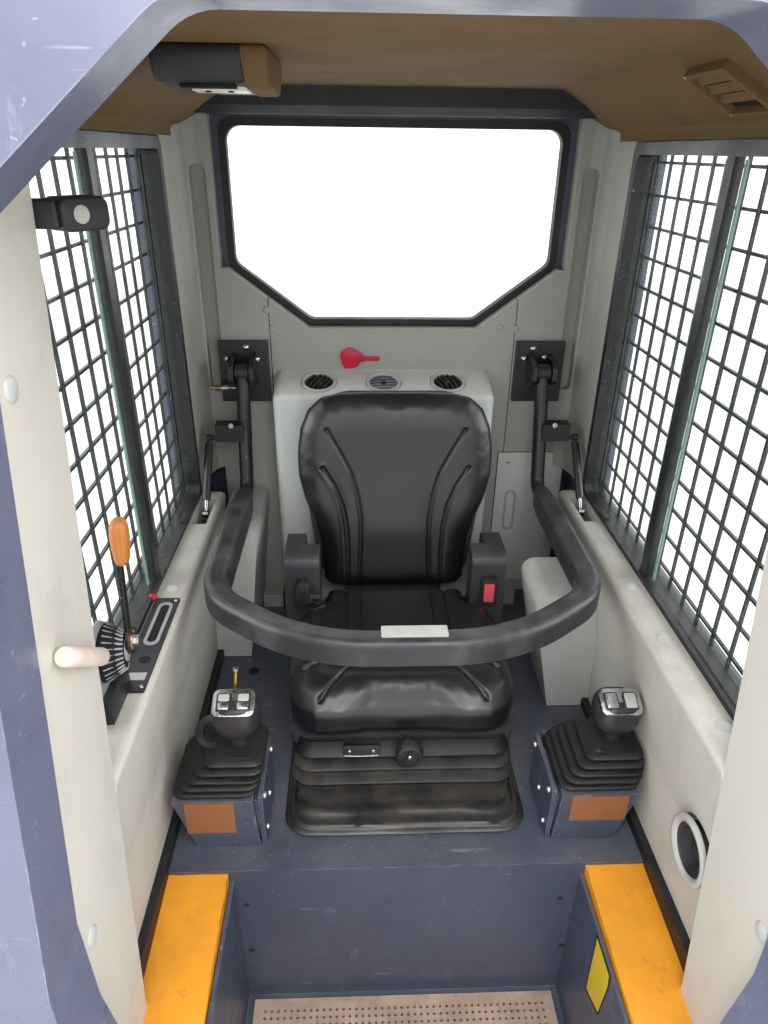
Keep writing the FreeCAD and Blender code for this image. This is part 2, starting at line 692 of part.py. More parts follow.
def window_outline(inset):
    """Outline of the side window, moved inwards by an inset."""
    low = size("window_low") + inset
    high = size("window_high") - inset
    rear = window_rear - inset
    corner = size("window_corner")
    front = as_size(inset) - size("window_cover")
    return [
        (trim_edge(low) + front, low, corner),
        (rear, low, corner),
        (rear, high, corner),
        (trim_edge(high) + front, high, corner),
    ]


def rear_glass_half(inset):
    """Right half of the rear window's outline, bottom first, moved inwards by an inset."""
    inset = as_size(inset)
    top, base = size("rear_glass_half_top"), size("rear_glass_half_base")
    side_z, base_z = size("rear_glass_side"), size("rear_glass_base")
    run, rise = top - base, side_z - base_z
    slant = root_of_squares(run, rise)
    corner = size("rear_glass_corner")
    return [
        (base - inset * (slant - run) / rise, base_z + inset, corner),
        (top - inset, side_z + inset * (slant - rise) / run, corner),
        (top - inset, size("rear_glass_top") - inset, corner),
    ]


def rear_frame():
    """Rear posts with their tilt bores, two rails between them, and the wall with its window."""
    inner = half_width - size("rear_post_width")
    rail = size("rear_rail")
    made = []
    for name, side in SIDES:
        low, high = span(side, inner, half_width)
        post = box(f"rear_post_{name}_box", (low, rear_inside, 0), (high, half_length, roof_low))
        start, length = (low - 1, high - low + 2)
        bore = rod(f"tilt_bore_{name}", "X", (start, half_length - size("rear_post_depth") / 2,
                                              size("tilt_height")), size("tilt_bore"), length)
        made.append(cut(f"rear_post_{name}", post, bore))
    for name, low in (("lower", 0), ("upper", roof_low - rail)):
        made.append(box(f"{name}_rail", (-inner, rear_inside, low), (inner, half_length, rail + low)))
    wall = new_body("rear_wall_body")
    face = [(-inner, rail), (inner, rail), (inner, roof_low - rail), (-inner, roof_low - rail)]
    pad(wall, "XZ", rear_inside, rear_inside + size("rear_wall"), face)
    pocket(wall, "XZ", rear_inside - 1, half_length + 1, mirrored(rear_glass_half(0)))
    made.append(wall)
    frame = doc.addObject("Part::Compound", "rear_frame_pieces")
    frame.Links = made
    return keep("rear_frame", frame)


def roof_panel():
    """Roof plate behind the header, with pressed channels along it."""
    body = new_body("roof_panel_body")
    profile = [
        (portal_lean(portal_rear, roof_low), roof_low),
        (half_length, roof_low),
        (half_length, height),
        (portal_lean(portal_rear, height), height),
    ]
    pad(body, "YZ", -half_width, half_width, profile)
    border, pitch = size("channel_border"), size("channel_pitch")
    start, end = portal_lean(portal_rear, height) + border, half_length - border
    half = size("channel_width") / 2
    for step in (-1.5, -0.5, 0.5, 1.5):
        middle = pitch * step
        channel = rectangle(middle - half, middle + half, start, end)
        pocket(body, "XY", height - size("channel_depth"), height + 1, channel)
    return keep("roof_panel", body)


def floor_platform():
    """Seat platform with its riser, one folded plate."""
    body = new_body("floor_platform_body")
    front, plate = riser, size("plate")
    profile = [
        (front, size("footwell_floor") - size("footwell_plate")),
        (front + plate, size("footwell_floor") - size("footwell_plate")),
        (front + plate, platform - plate),
        (rear_inside, platform - plate),
        (rear_inside, platform),
        (front, platform),
    ]
    pad(body, "YZ", -shell_inner, shell_inner, profile)
    return keep("floor_platform", body)


def footwell_pan():
    """Footwell floor and side plates, one folded plate."""
    body = new_body("footwell_pan_body")
    inner, plate = size("footwell_half_width"), size("footwell_plate")
    floor, top = size("footwell_floor"), size("footwell_side_top")
    section = [
        (-inner - plate, floor - plate),
        (inner + plate, floor - plate),
        (inner + plate, top),
        (inner, top),
        (inner, floor),
        (-inner, floor),
        (-inner, top),
        (-inner - plate, top),
    ]
    pad(body, "XZ", portal_rear, riser, section)
    return keep("footwell_pan", body)


def footwell_mat():
    """Perforated mat on the footwell floor."""
    border = size("mat_border")
    inner = size("footwell_half_width") - border
    floor = size("footwell_floor")
    body = new_body("footwell_mat_body")
    rim = rectangle(-inner, inner, portal_rear + border, riser - border, size("mat_corner"))
    pad(body, "XY", floor, floor + size("mat_thickness"), rim)
    return keep("footwell_mat", body)


def side_box(name, side):
    """Box beside the footwell, its top falling to the front."""
    body = new_body(f"side_box_{name}_body")
    inner = size("footwell_half_width") + size("footwell_plate") + size("side_box_gap")
    low, high = span(side, inner, shell_inner)
    profile = [
        (portal_rear, size("footwell_floor")),
        (riser, size("footwell_floor")),
        (riser, size("side_box_rear")),
        (portal_rear, size("side_box_front")),
    ]
    pad(body, "YZ", low, high, profile)
    return body


def edge_rail(name, side):
    """Rubber rail at the foot of a sill trim, over the side box and the platform."""
    body = new_body(f"edge_rail_{name}_body")
    top = size("edge_rail_top")
    share = (top - platform) / (size("sill_knee_height") - platform)
    outer = size("sill_foot") - (size("sill_foot") - size("sill_knee")) * share
    low, high = span(side, outer - size("edge_rail"), outer)
    rear = left_box_front if side < 0 else right_box_front
    front = trim_edge(top)
    profile = [
        (front, side_box_top(front)),
        (riser, size("side_box_rear")),
        (riser, platform),
        (rear, platform),
        (rear, top),
        (front, top),
    ]
    pad(body, "YZ", low, high, profile)
    return body


def side_box_top(along):
    """Height of a side box's sloping top at a place along the cab."""
    slope = (size("side_box_rear") - size("side_box_front")) / (riser - portal_rear)
    return size("side_box_front") + (along - portal_rear) * slope


def sill_face(up):
    """Distance from the middle of the sill trim's inner side at a height above the knee."""
    rise = (as_size(up) - size("sill_knee_height")) / (size("sill_top") - size("sill_knee_height"))
    return size("sill_knee") - (size("sill_knee") - size("sill_edge")) * rise


def handed(side, corners):
    """Corners given for the right side, turned to the side that is built."""
    turned = [(as_size(corner[0]) * side,) + tuple(corner[1:]) for corner in corners]
    return turned if side > 0 else list(reversed(turned))


def sill_trim(name, side):
    """Moulded trim from the platform up to the window sill."""
    body = new_body(f"sill_trim_{name}_body")
    frame_face = size("window_frame_inset")
    section = [
        (shell_inner, platform),
        (shell_inner, size("window_low")),
        (frame_face, size("window_low")),
        (frame_face, size("sill_top")),
        (size("sill_edge"), size("sill_top"), size("sill_round")),
        (size("sill_knee"), size("sill_knee_height")),
        (size("sill_foot"), platform),
    ]
    pad(body, "XZ", trim_foot - 5, window_rear, handed(side, section))
    low, high = span(side, 0, half_width)
    beyond = 20
    front = [
        (portal_front, platform - beyond),
        (trim_edge(platform - beyond), platform - beyond),
        (trim_edge(size("sill_top") + beyond), size("sill_top") + beyond),
        (portal_front, size("sill_top") + beyond),
    ]
    pocket(body, "YZ", low, high, front)
    if side > 0:
        seat_rear = size("speaker_face") + size("speaker_depth")
        seat = circle(body, "YZ", seat_rear, size("speaker_along"),
                      size("speaker_height"), size("speaker_radius"))
        pocket_sketch(body, seat, size("speaker_depth") * 1.3)
    across, half = size("strut_across"), size("notch_half_width")
    low, high = span(side, across - half, across + half)
    notch = rectangle(low, high, strut_lower[0] - size("notch_front"), strut_lower[0] + size("notch_rear"))
    pocket(body, "XY", size("sill_top") - size("notch_depth"), size("sill_top") + 1, notch)
    return keep(f"sill_trim_{name}", body)


def pillar_trim(name, side):
    """Moulded trim behind the front pillar, from the side box to the headliner."""
    body = new_body(f"pillar_trim_{name}_body")
    top, sill = size("liner_side"), size("window_low")
    foot = trim_edge(platform)
    profile = [
        (portal_rear, size("side_box_front")),
        (foot, side_box_top(foot)),
        (foot, platform),
        (trim_edge(top), top),
        (portal_lean(portal_rear, top), top),
        (portal_rear, knee),
    ]
    low, high = span(side, size("portal_half_opening"), size("window_frame_inset"))
    pad(body, "YZ", low, high, profile)
    below_window = [
        (portal_rear, size("side_box_front")),
        (foot, side_box_top(foot)),
        (foot, platform),
        (trim_edge(sill), sill),
        (portal_lean(portal_rear, sill), sill),
        (portal_rear, knee),
    ]
    low, high = span(side, size("window_frame_inset") - 1, shell_inner)
    pad(body, "YZ", low, high, below_window)
    return keep(f"pillar_trim_{name}", body)


def corner_trim(name, side, liner):
    """Rear corner trim: the post's face with its recess, and the panel below the window.

    Its top follows the headliner.
    """
    body = new_body(f"corner_trim_{name}_body")
    edge, wall_low = size("corner_face_low"), size("sill_top")
    plan = [
        (shell_inner, window_rear),
        (size("window_frame_inset") + 3, window_rear),
        (size("window_frame_inset"), pivot_along),
        (size("window_frame_inset") - 12, rear_trim_face - 14, 10),
        (size("bracket_outer") + 8, rear_trim_face),
        (edge, rear_trim_face),
        (edge, rear_inside),
        (shell_inner, rear_inside),
    ]
    pad(body, "XY", wall_low, size("liner_low"), handed(-side, [(c[0] * -1,) + c[1:] for c in plan]))
    seam = size("seam_half") + size("seam_gap")
    run = size("rear_glass_half_top") - size("rear_glass_half_base")
    rise = size("rear_glass_side") - size("rear_glass_base")
    chamfer = size("rear_glass_base") + (seam - size("rear_glass_half_base")) * rise / run
    panel = [
        (seam, platform),
        (size("sill_knee"), platform),
        (size("sill_knee"), size("rear_glass_side")),
        (size("rear_glass_half_top"), size("rear_glass_side")),
        (seam, chamfer),
    ]
    pad(body, "XZ", rear_trim_face, rear_inside, handed(side, panel))
    low, high = span(side, seam, seam + size("ledge_width"))
    pad(body, "XY", platform, platform + size("ledge_height"),
        rectangle(low, high, rear_trim_face - size("ledge_depth"), rear_trim_face + 1))
    low, high = span(side, edge + 12, size("window_frame_inset") - 16)
    hollow = [
        (low, size("recess_low"), 14),
        (high, size("recess_low"), 14),
        (high, size("recess_high"), 14),
        (low, size("recess_high"), 14),
    ]
    pocket(body, "XZ", pivot_along, rear_trim_face + size("recess_depth"), hollow)
    return keep(f"corner_trim_{name}", cut(f"corner_trim_{name}_cut", body, liner))


def centre_trim():
    """Rear trim below the window, between the two seams."""
    body = new_body("centre_trim_body")
    seam = size("seam_half")
    base, base_z = size("rear_glass_half_base"), size("rear_glass_base")
    run = size("rear_glass_half_top") - base
    rise = size("rear_glass_side") - base_z
    chamfer = base_z + (seam - base) * rise / run
    half = [(seam, platform), (seam, chamfer), (base, base_z)]
    pad(body, "XZ", rear_trim_face, rear_inside, mirrored(half))
    return keep("centre_trim", body)


def vent_shelf():
    """Moulded housing behind the seat, with a sloping top that seats the vents."""
    body = new_body("vent_shelf_body")
    profile = [
        (shelf_front, platform),
        (rear_trim_face, platform),
        (rear_trim_face, size("shelf_back")),
        (shelf_front, size("shelf_lip"), size("shelf_round")),
    ]
    left, right = size("shelf_left"), size("shelf_right")
    pad(body, "YZ", left, right, profile)
    lip = size("shelf_lip").value

    def sloping_side(middle, run, edge):
        return middle.z > lip and min(abs(middle.x - left.value), abs(middle.x - right.value)) < 0.1

    round_edges(body, size("shelf_side_round"), sloping_side)
    return body


def tilted_vent(name, step, sink, radius, length):
    """A cylinder square to the shelf's slope, its foot sunk below the slope."""
    made = doc.addObject("Part::Cylinder", name)
    bind(made, "Radius", radius)
    bind(made, "Height", length)
    run, rise = size("shelf_depth"), size("shelf_back") - size("shelf_lip")
    slant = root_of_squares(run, rise)
    share = size("vent_share")
    middle = (size("shelf_left") + size("shelf_right")) / 2
    base = (
        middle + size("vent_spacing") * step,
        shelf_front + run * share + rise / slant * sink,
        size("shelf_lip") + rise * share - run / slant * sink,
    )
    made.Placement = FreeCAD.Placement(V(), FreeCAD.Rotation(V(1, 0, 0), 10))
    bind(made, "Placement.Rotation.Angle", Size(0, f"atan({rise.text} / {run.text})"))
    for prop, a in zip(("x", "y", "z"), base):
        bind(made, f"Placement.Base.{prop}", a)
    return made


def vents_and_shelf():
    """Cut the vents' seats into the shelf and make the three round vents in them."""
    recess, radius, rim = size("vent_recess"), size("vent_radius"), size("vent_rim")
    seats, vents = [], []
    for step in (-1, 0, 1):
        seats.append(tilted_vent(f"vent_seat_{step + 1}", step, recess, radius + 1, recess * 3))
        ring = tilted_vent(f"vent_ring_{step + 1}", step, recess, radius, recess + size("vent_proud"))
        mouth = tilted_vent(f"vent_mouth_{step + 1}", step, recess / 3, radius - rim, recess)
        vents.append(cut(f"air_vent_{step + 1}", ring, mouth))
    keep("vent_shelf", cut("vent_shelf_cut", vent_shelf(), fuse("vent_seats", seats)))
    row = doc.addObject("Part::Compound", "air_vent_row")
    row.Links = vents
    keep("air_vents", row)


def rear_box(name, side, front, rear):
    """Moulded box on the platform beside the seat, flaring inwards to its rounded top."""
    body = new_body(f"rear_box_{name}_body")
    top = size(f"{name}_box_top")
    section = [
        (size(f"{name}_box_foot"), platform),
        (size("sill_foot"), platform),
        (size("sill_knee"), size("sill_knee_height")),
        (sill_face(top), top),
        (size(f"{name}_box_shoulder"), top, size("rear_box_round")),
    ]
    pad(body, "XZ", front, rear, handed(side, section))
    return keep(f"rear_box_{name}", body)


def headliner():
    """Moulded ceiling with turned down sides."""
    body = new_body("headliner_body")
    low, side_low = size("liner_low"), size("liner_side")
    half = [
        (size("liner_flat") + size("liner_crease"), low, size("liner_crease_round")),
        (size("window_frame_inset"), side_low + size("liner_lip"), size("sill_round")),
        (size("window_frame_inset"), side_low),
        (shell_inner, side_low),
        (shell_inner, roof_low),
    ]
    pad(body, "XZ", portal_lean(portal_rear, roof_low), rear_inside, mirrored(half))
    return keep("headliner", body)


def rear_band(liner):
    """Dark band between the headliner and the rear window."""
    body = new_body("rear_band_body")
    low, top = size("band_low"), size("liner_low")
    half, wide = size("corner_face_low"), size("band_half_width")
    front = rear_inside - size("band_depth")
    pad(body, "YZ", -half, half, [
        (rear_trim_face - 1, low),
        (rear_inside, low),
        (rear_inside, top + 2),
        (rear_trim_face - 1, top + 2),
    ])
    pad(body, "YZ", -wide, wide, [
        (front + size("band_slope_run"), low),
        (rear_trim_face - 0.3, low),
        (rear_trim_face - 0.3, top + 2),
        (front, top + 2),
        (front, low + size("band_slope_rise")),
    ])
    return keep("rear_band", cut("rear_band_cut", body, liner))


def window_frame(name, side):
    """Frame of a sliding side window with its two uprights."""
    inset = size("window_frame_inset")
    low, high = span(side, inset, inset + size("window_frame_depth"))
    clear = size("window_clearance")
    face = size("window_frame_face")
    body = new_body(f"window_frame_{name}_body")
    pad(body, "YZ", low, high, window_outline(clear))
    pocket(body, "YZ", low - 1, high + 1, window_outline(clear + face))
    meeting, stile = size("pane_meeting"), size("stile")
    pane_low, pane_high = size("window_low") + clear + face, size("window_high") - clear - face
    # Uprights: start from the frame's inner face, start along Y
    depth = size("stile_depth")
    for start, along in ((4, meeting - stile * 0.75), (4 + depth, meeting - stile * 0.25)):
        u_low, u_high = span(side, inset + start, inset + start + depth)
        bar = [(along, pane_low - 1), (along + stile, pane_low - 1),
               (along + stile, pane_high + 1), (along, pane_high + 1)]
        pad(body, "YZ", u_low, u_high, bar)
    return body


def side_panes(name, side):
    """Two sliding panes, the rear one outside."""
    clear = size("window_clearance")
    face = size("window_frame_face")
    inset = size("window_frame_inset")
    meeting, stile = size("pane_meeting"), size("stile")
    depth = size("stile_depth")
    pane_low, pane_high = size("window_low") + clear + face, size("window_high") - clear - face
    ring = window_outline(clear + face)
    corner_free = [corner[:2] for corner in ring]
    thick = size("pane")
    first = new_body(f"front_pane_{name}")
    p_low, p_high = span(side, inset + 7, inset + 7 + thick)
    pad(first, "YZ", p_low, p_high, [
        corner_free[0] + (size("window_corner"),), (meeting - stile * 0.75, pane_low),
        (meeting - stile * 0.75, pane_high), corner_free[3] + (size("window_corner"),)])
    second = new_body(f"rear_pane_{name}")
    p_low, p_high = span(side, inset + 7 + depth, inset + 7 + depth + thick)
    pad(second, "YZ", p_low, p_high, [
        (meeting + stile * 0.75, pane_low), corner_free[1] + (size("window_corner"),),
        corner_free[2] + (size("window_corner"),), (meeting + stile * 0.75, pane_high)])
    panes = doc.addObject("Part::Compound", f"panes_{name}")
    panes.Links = [first, second]
    return panes


def mesh_guard(name, side):
    """Welded wire guard in the outer part of the window opening."""
    body = new_body(f"guard_rim_{name}")
    inner, wire = size("guard_inner"), size("guard_wire")
    low, high = span(side, inner, inner + wire * 2)
    rim = size("guard_rim")
    pad(body, "YZ", low, high, window_outline(size("window_clearance")))
    pocket(body, "YZ", low - 1, high + 1, window_outline(size("window_clearance") + rim))
    doc.recompute()
    pitch, thick = size("guard_pitch").value, wire.value
    z_low = (size("window_low") + rim).value
    z_high = (size("window_high") - rim).value
    y_high = (window_rear - rim).value
    lean = size("trim_lean").value
    y_low = trim_edge(z_low).value + rim.value - sheet.get("window_cover")
    wires = []
    x_up, x_across = (inner.value, inner.value + thick)
    if side < 0:
        x_up, x_across = -x_up - thick, -x_across - thick
    count = int((y_high - y_low) / pitch)
    margin = ((y_high - y_low) - count * pitch) / 2
    for i in range(count + 1):
        y = y_low + margin + i * pitch
        top = min(z_high, z_low + (y - thick - y_low) / lean)
        if top - z_low > pitch / 2:
            wires.append(Part.makeBox(thick, thick, top - z_low, V(x_up, y - thick / 2, z_low)))
    count = int((z_high - z_low) / pitch)
    margin = ((z_high - z_low) - count * pitch) / 2
    for i in range(count + 1):
        z = z_low + margin + i * pitch
        start = y_low + (z + thick / 2 - z_low) * lean
        wires.append(Part.makeBox(thick, y_high - start, thick, V(x_across, start, z - thick / 2)))
    made = doc.addObject("Part::Feature", f"mesh_guard_{name}_shape")
    made.Shape = Part.makeCompound([body.Shape] + wires)
    return made


def rear_window():
    """Rear glass and the rubber that holds it."""
    seal, depth = size("rear_seal"), size("rear_seal_depth")
    body = new_body("rear_window_seal_body")
    front = rear_inside - 4
    pad(body, "XZ", front, front + depth, mirrored(rear_glass_half(0)))
    pocket(body, "XZ", front - 1, front + depth + 1, mirrored(rear_glass_half(seal)))
    keep("rear_window_seal", body)
    glass = new_body("rear_window_glass_body")
    middle = front + depth / 2
    thick = size("rear_glass_thickness")
    pad(glass, "XZ", middle - thick / 2, middle + thick / 2, mirrored(rear_glass_half(seal)))
    keep("rear_window_glass", glass)


def seat_cushion():
    """Plain solid of the cushion, narrower between the belt housings."""
    body = new_body("seat_cushion_body")
    half, waist = size("seat_half_width"), size("seat_waist")
    front, rear = size("seat_front"), size("seat_rear")
    shoulder = size("wing_front") - size("cushion_waist_gap")
    rim = [
        (half, front, size("cushion_corner")),
        (half, shoulder - size("cushion_waist_run")),
        (waist, shoulder),
        (waist, rear),
    ]
    pad(body, "XY", size("cushion_low"), size("cushion_high"), mirrored(rim))
    top = size("cushion_high").value

    def upper(middle, run, edge):
        return abs(middle.z - top) < 0.1

    round_edges(body, size("cushion_round"), upper, "Chamfer")
    keep("seat_cushion", body)


def backrest_outline(grow):
    """Right half of the backrest in its own plane, moved outwards."""
    length = size("backrest_length")
    return [
        (size("backrest_half_low") + grow, -as_size(grow), size("backrest_round_low")),
        (size("backrest_half_wide") + grow, size("backrest_wide_at"), size("backrest_round_side")),
        (size("backrest_half_top") + grow, length + grow, size("backrest_round_top")),
    ]


def lean_back(body):
    """Lean a backrest piece about its foot."""
    turn = FreeCAD.Rotation(V(1, 0, 0), -sheet.get("backrest_tilt"))
    body.Placement = FreeCAD.Placement(V(), turn)
    bind(body, "Placement.Base.y", size("backrest_front"))
    bind(body, "Placement.Base.z", size("backrest_low"))


def seat_backrest():
    """Plain solid of the backrest."""
    body = new_body("seat_backrest_body")
    pad(body, "XZ", 0, size("backrest_depth"), mirrored(backrest_outline(0)))

    def front_edge(middle, run, edge):
        return abs(middle.y) < 0.1

    round_edges(body, size("backrest_edge"), front_edge, "Chamfer")
    lean_back(body)
    keep("seat_backrest", body)


def seat_shell():
    """Moulded pan with its runners and belt housings, and the shell behind the backrest."""
    pan = new_body("seat_pan_body")
    high = size("cushion_low") - size("shell_clearance")
    low = high - size("pan_thickness")
    half = size("seat_half_width") - size("pan_set_in")
    rear = size("pan_rear")
    front = size("seat_front") + size("pan_front_gap")
    pad(pan, "XY", low, high, rectangle(-half, half, front, rear, size("pan_corner")))
    runner_low = size("bellows_top") + size("rail_height") + size("running_gap")
    wing_front, wing_top = size("wing_front"), size("wing_top")
    for side in (-1, 1):
        a, b = span(side, size("rail_half_spacing") - size("runner_half_width"),
                    size("rail_half_spacing") + size("runner_half_width"))
        pad(pan, "XY", runner_low, low + 1, rectangle(
            a, b, size("rail_front") + size("runner_inset"), size("rail_rear") - size("runner_inset")))
        a, b = span(side, size("wing_inner"), size("wing_outer"))
        pad(pan, "YZ", a, b, [
            (wing_front, low),
            (wing_front + size("wing_depth"), low),
            (wing_front + size("wing_depth"), wing_top),
            (wing_front, wing_top, size("wing_round")),
        ])
        a, b = span(side, size("wing_rear_inner"), size("wing_outer"))
        pad(pan, "YZ", a, b, [
            (wing_front + size("wing_depth") - 1, low),
            (rear, low),
            (rear - size("wing_depth") / 2, wing_top, size("wing_round")),
            (wing_front + size("wing_depth") - 1, wing_top),
        ])
    back = new_body("back_shell_body")
    depth = size("backrest_depth") + size("shell_clearance")
    pad(back, "XZ", depth, depth + size("shell_thickness"), mirrored(backrest_outline(-6)))
    spine_half, spine_reach = size("spine_half_width"), size("spine_reach")
    spine = rectangle(-spine_half, spine_half, -spine_reach, spine_reach)
    pad(back, "XZ", depth, depth + size("shell_thickness"), spine)
    lean_back(back)
    keep("seat_shell", fuse("seat_shell_fuse", [pan, back]))


def seat_bellows():
    """Rubber bellows of the suspension, wide at the foot, with two lips."""
    body = new_body("seat_bellows_body")
    rear = size("bellows_rear")
    top = size("bellows_top")
    # Folds: height above the platform as a share of the bellows, half width, front
    folds = [
        (0.0, 222, -232),
        (0.14, 222, -224),
        (0.32, 206, -152),
        (0.38, 216, -138),
        (0.52, 218, -138),
        (0.60, 204, -112),
        (0.76, 217, size("bellows_lip")),
        (0.84, 217, -116),
        (1.0, 205, -68),
    ]
    sections = []
    for share, half, front in folds:
        sections.append((platform + (top - platform) * share, rectangle(-half, half, front, rear)))
    loft(body, "XY", sections)
    keep("seat_bellows", body)


def seat_rails():
    """Two rails on the suspension that carry the seat's runners."""
    made = []
    for side in (-1, 1):
        a, b = span(side, size("rail_half_spacing") - size("rail_width") / 2,
                    size("rail_half_spacing") + size("rail_width") / 2)
        low = size("bellows_top")
        made.append(box("seat_rail", (a, size("rail_front"), low),
                        (b, size("rail_rear"), low + size("rail_height"))))
    pair = doc.addObject("Part::Compound", "seat_rail_pair")
    pair.Links = made
    keep("seat_rails", pair)


def seat_knob():
    """Round adjusting knob in front of the cushion, on a stem from the moulded pan."""
    body = new_body("seat_knob_body")
    up = size("cushion_low") - size("shell_clearance") * 2 - size("knob_stem")
    front = size("seat_front") - size("knob_depth") - 6
    pan_front = size("seat_front") + size("pan_front_gap")
    across = size("knob_across")
    stem_rear = pan_front - 0.3
    pad_sketch(body, circle(body, "XZ", stem_rear, across, up, size("knob_stem")), stem_rear - front - 4)
    knob_rear = front + size("knob_depth")
    pad_sketch(body, circle(body, "XZ", knob_rear, across, up, size("knob_radius")), size("knob_depth"))
    keep("seat_knob", body)


def belt_parts():
    """Belt retractor with its tongue on the left, buckle on the right."""
    face = size("wing_front")
    top = size("wing_top") - size("belt_drop")
    low = top - size("belt_height")
    half, depth = size("belt_half_width"), size("belt_depth")
    middle = (size("wing_inner") + size("wing_outer")) / 2
    retractor = new_body("belt_retractor_body")
    pad(retractor, "XZ", face - depth, face, rectangle(-middle - half, -middle + half, low, top))
    tongue = rectangle(-middle, -middle + half * 2, low + half, top - half)
    pad(retractor, "XZ", face - depth - 5, face - depth + 1, tongue)
    keep("belt_retractor", retractor)
    buckle = new_body("belt_buckle_body")
    pad(buckle, "XZ", face - depth, face, rectangle(middle - half, middle + half, low, top))
    keep("belt_buckle", buckle)


def joystick_pod(name, side):
    """Tapered pod on the platform, with its inner side plate."""
    pod = new_body(f"joystick_pod_{name}_body")
    top = platform + size("pod_height")
    front, inner = size("pod_front"), size("pod_inner")
    across, along = size("stick_across"), size("stick_along")
    reach = size("boot_half") + 3
    a, b = span(side, inner, inner + size("pod_foot_width"))
    c, d = span(side, across - reach, across + reach)
    loft(pod, "XY", [
        (platform, rectangle(a, b, front, front + size("pod_foot_depth"))),
        (top, rectangle(c, d, front, along + reach + 6)),
    ])
    plate, gap, border = size("pod_plate"), size("pod_plate_gap"), size("pod_plate_border")
    e, f = span(side, inner - gap - plate, inner - gap)
    g, h = span(side, inner - gap - 1, inner + plate)
    rear = front + size("pod_plate_depth")
    pad(pod, "YZ", e, f, rectangle(front + border / 3, rear, platform, top + border / 2))
    pad(pod, "YZ", g, h, rectangle(front + border, rear - border * 1.5, platform + border, top - border))
    return pod


def joystick_boot(name, side):
    """Stepped rubber boot on a pod, leaning with its stick."""
    top = platform + size("pod_height")
    across, along = size("stick_across"), size("stick_along")
    boot = new_body(f"joystick_boot_{name}_body")
    step, taper = size("boot_step"), size("boot_taper")
    for i in range(BOOT_FOLDS):
        half = size("boot_half") - taper * i
        middle = across * side + STICKS[name][0] * i / (BOOT_FOLDS - 1)
        low = top + step * i
        pad(boot, "XY", low - (0 if i == 0 else 1), low + step, cut_rectangle(
            middle - half, middle + half, along - half, along + half, half * 0.2))
    return boot


def joystick_grip(name, side):
    """Grip on top of a boot: a collar, a neck and the broad head for the palm."""
    across, along = size("stick_across"), size("stick_along")
    grip = new_body(f"joystick_grip_{name}_body")
    low = platform + size("pod_height") + size("boot_step") * BOOT_FOLDS
    boot_lean, lean = STICKS[name]
    middle = across * side + boot_lean
    half = size("grip_half")
    tall = size("grip_height")
    # Sections: share of the height, half width and half depth shares, share of the lean
    shares = [
        (0.0, 0.72, 0.7, 0.0),
        (0.2, 0.86, 0.8, 0.1),
        (0.28, 0.7, 0.62, 0.3),
        (0.5, 0.98, 0.8, 0.8),
        (0.82, 1.0, 0.84, 1.0),
        (1.0, 0.82, 0.62, 1.0),
    ]
    sections = []
    for share, wide, deep, turn in shares:
        x = middle + lean * turn
        rim = cut_rectangle(x - half * wide, x + half * wide,
                            along - half * deep, along + half * deep, half * 0.28)
        sections.append((low + tall * share, rim))
    loft(grip, "XY", sections)
    return grip


def bar_bracket(name, side):
    """Plate on the rear trim with two cheeks and the pivot pin of a bar arm."""
    body = new_body(f"bar_bracket_{name}_body")
    across = size("arm_across")
    plate_front = rear_trim_face - size("bracket_plate")
    a, b = span(side, size("bracket_inner"), size("bracket_outer"))
    plate = rectangle(a, b, size("bracket_low"), size("bracket_high"))
    pad(body, "XZ", plate_front, rear_trim_face, plate)
    along, up = pivot_along, size("pivot_height")
    reach = size("cheek_reach")
    for near in (-1, 1):
        near_face = across + near * size("cheek_gap") / 2
        far_face = near_face + near * size("cheek")
        c, d = span(side, near_face, far_face) if near > 0 else span(side, far_face, near_face)
        cheek = [
            (along - reach, up - reach, 20),
            (plate_front + 2, up - reach - 18),
            (plate_front + 2, up + reach + 10),
            (along - reach, up + reach, 20),
        ]
        pad(body, "YZ", c, d, cheek)
    low, high = span(side, across - size("cheek_gap") / 2 - 4, across + size("cheek_gap") / 2 + 4)
    pad_sketch(body, circle(body, "YZ", low, along, up, size("pivot_pin")), high - low)
    return body


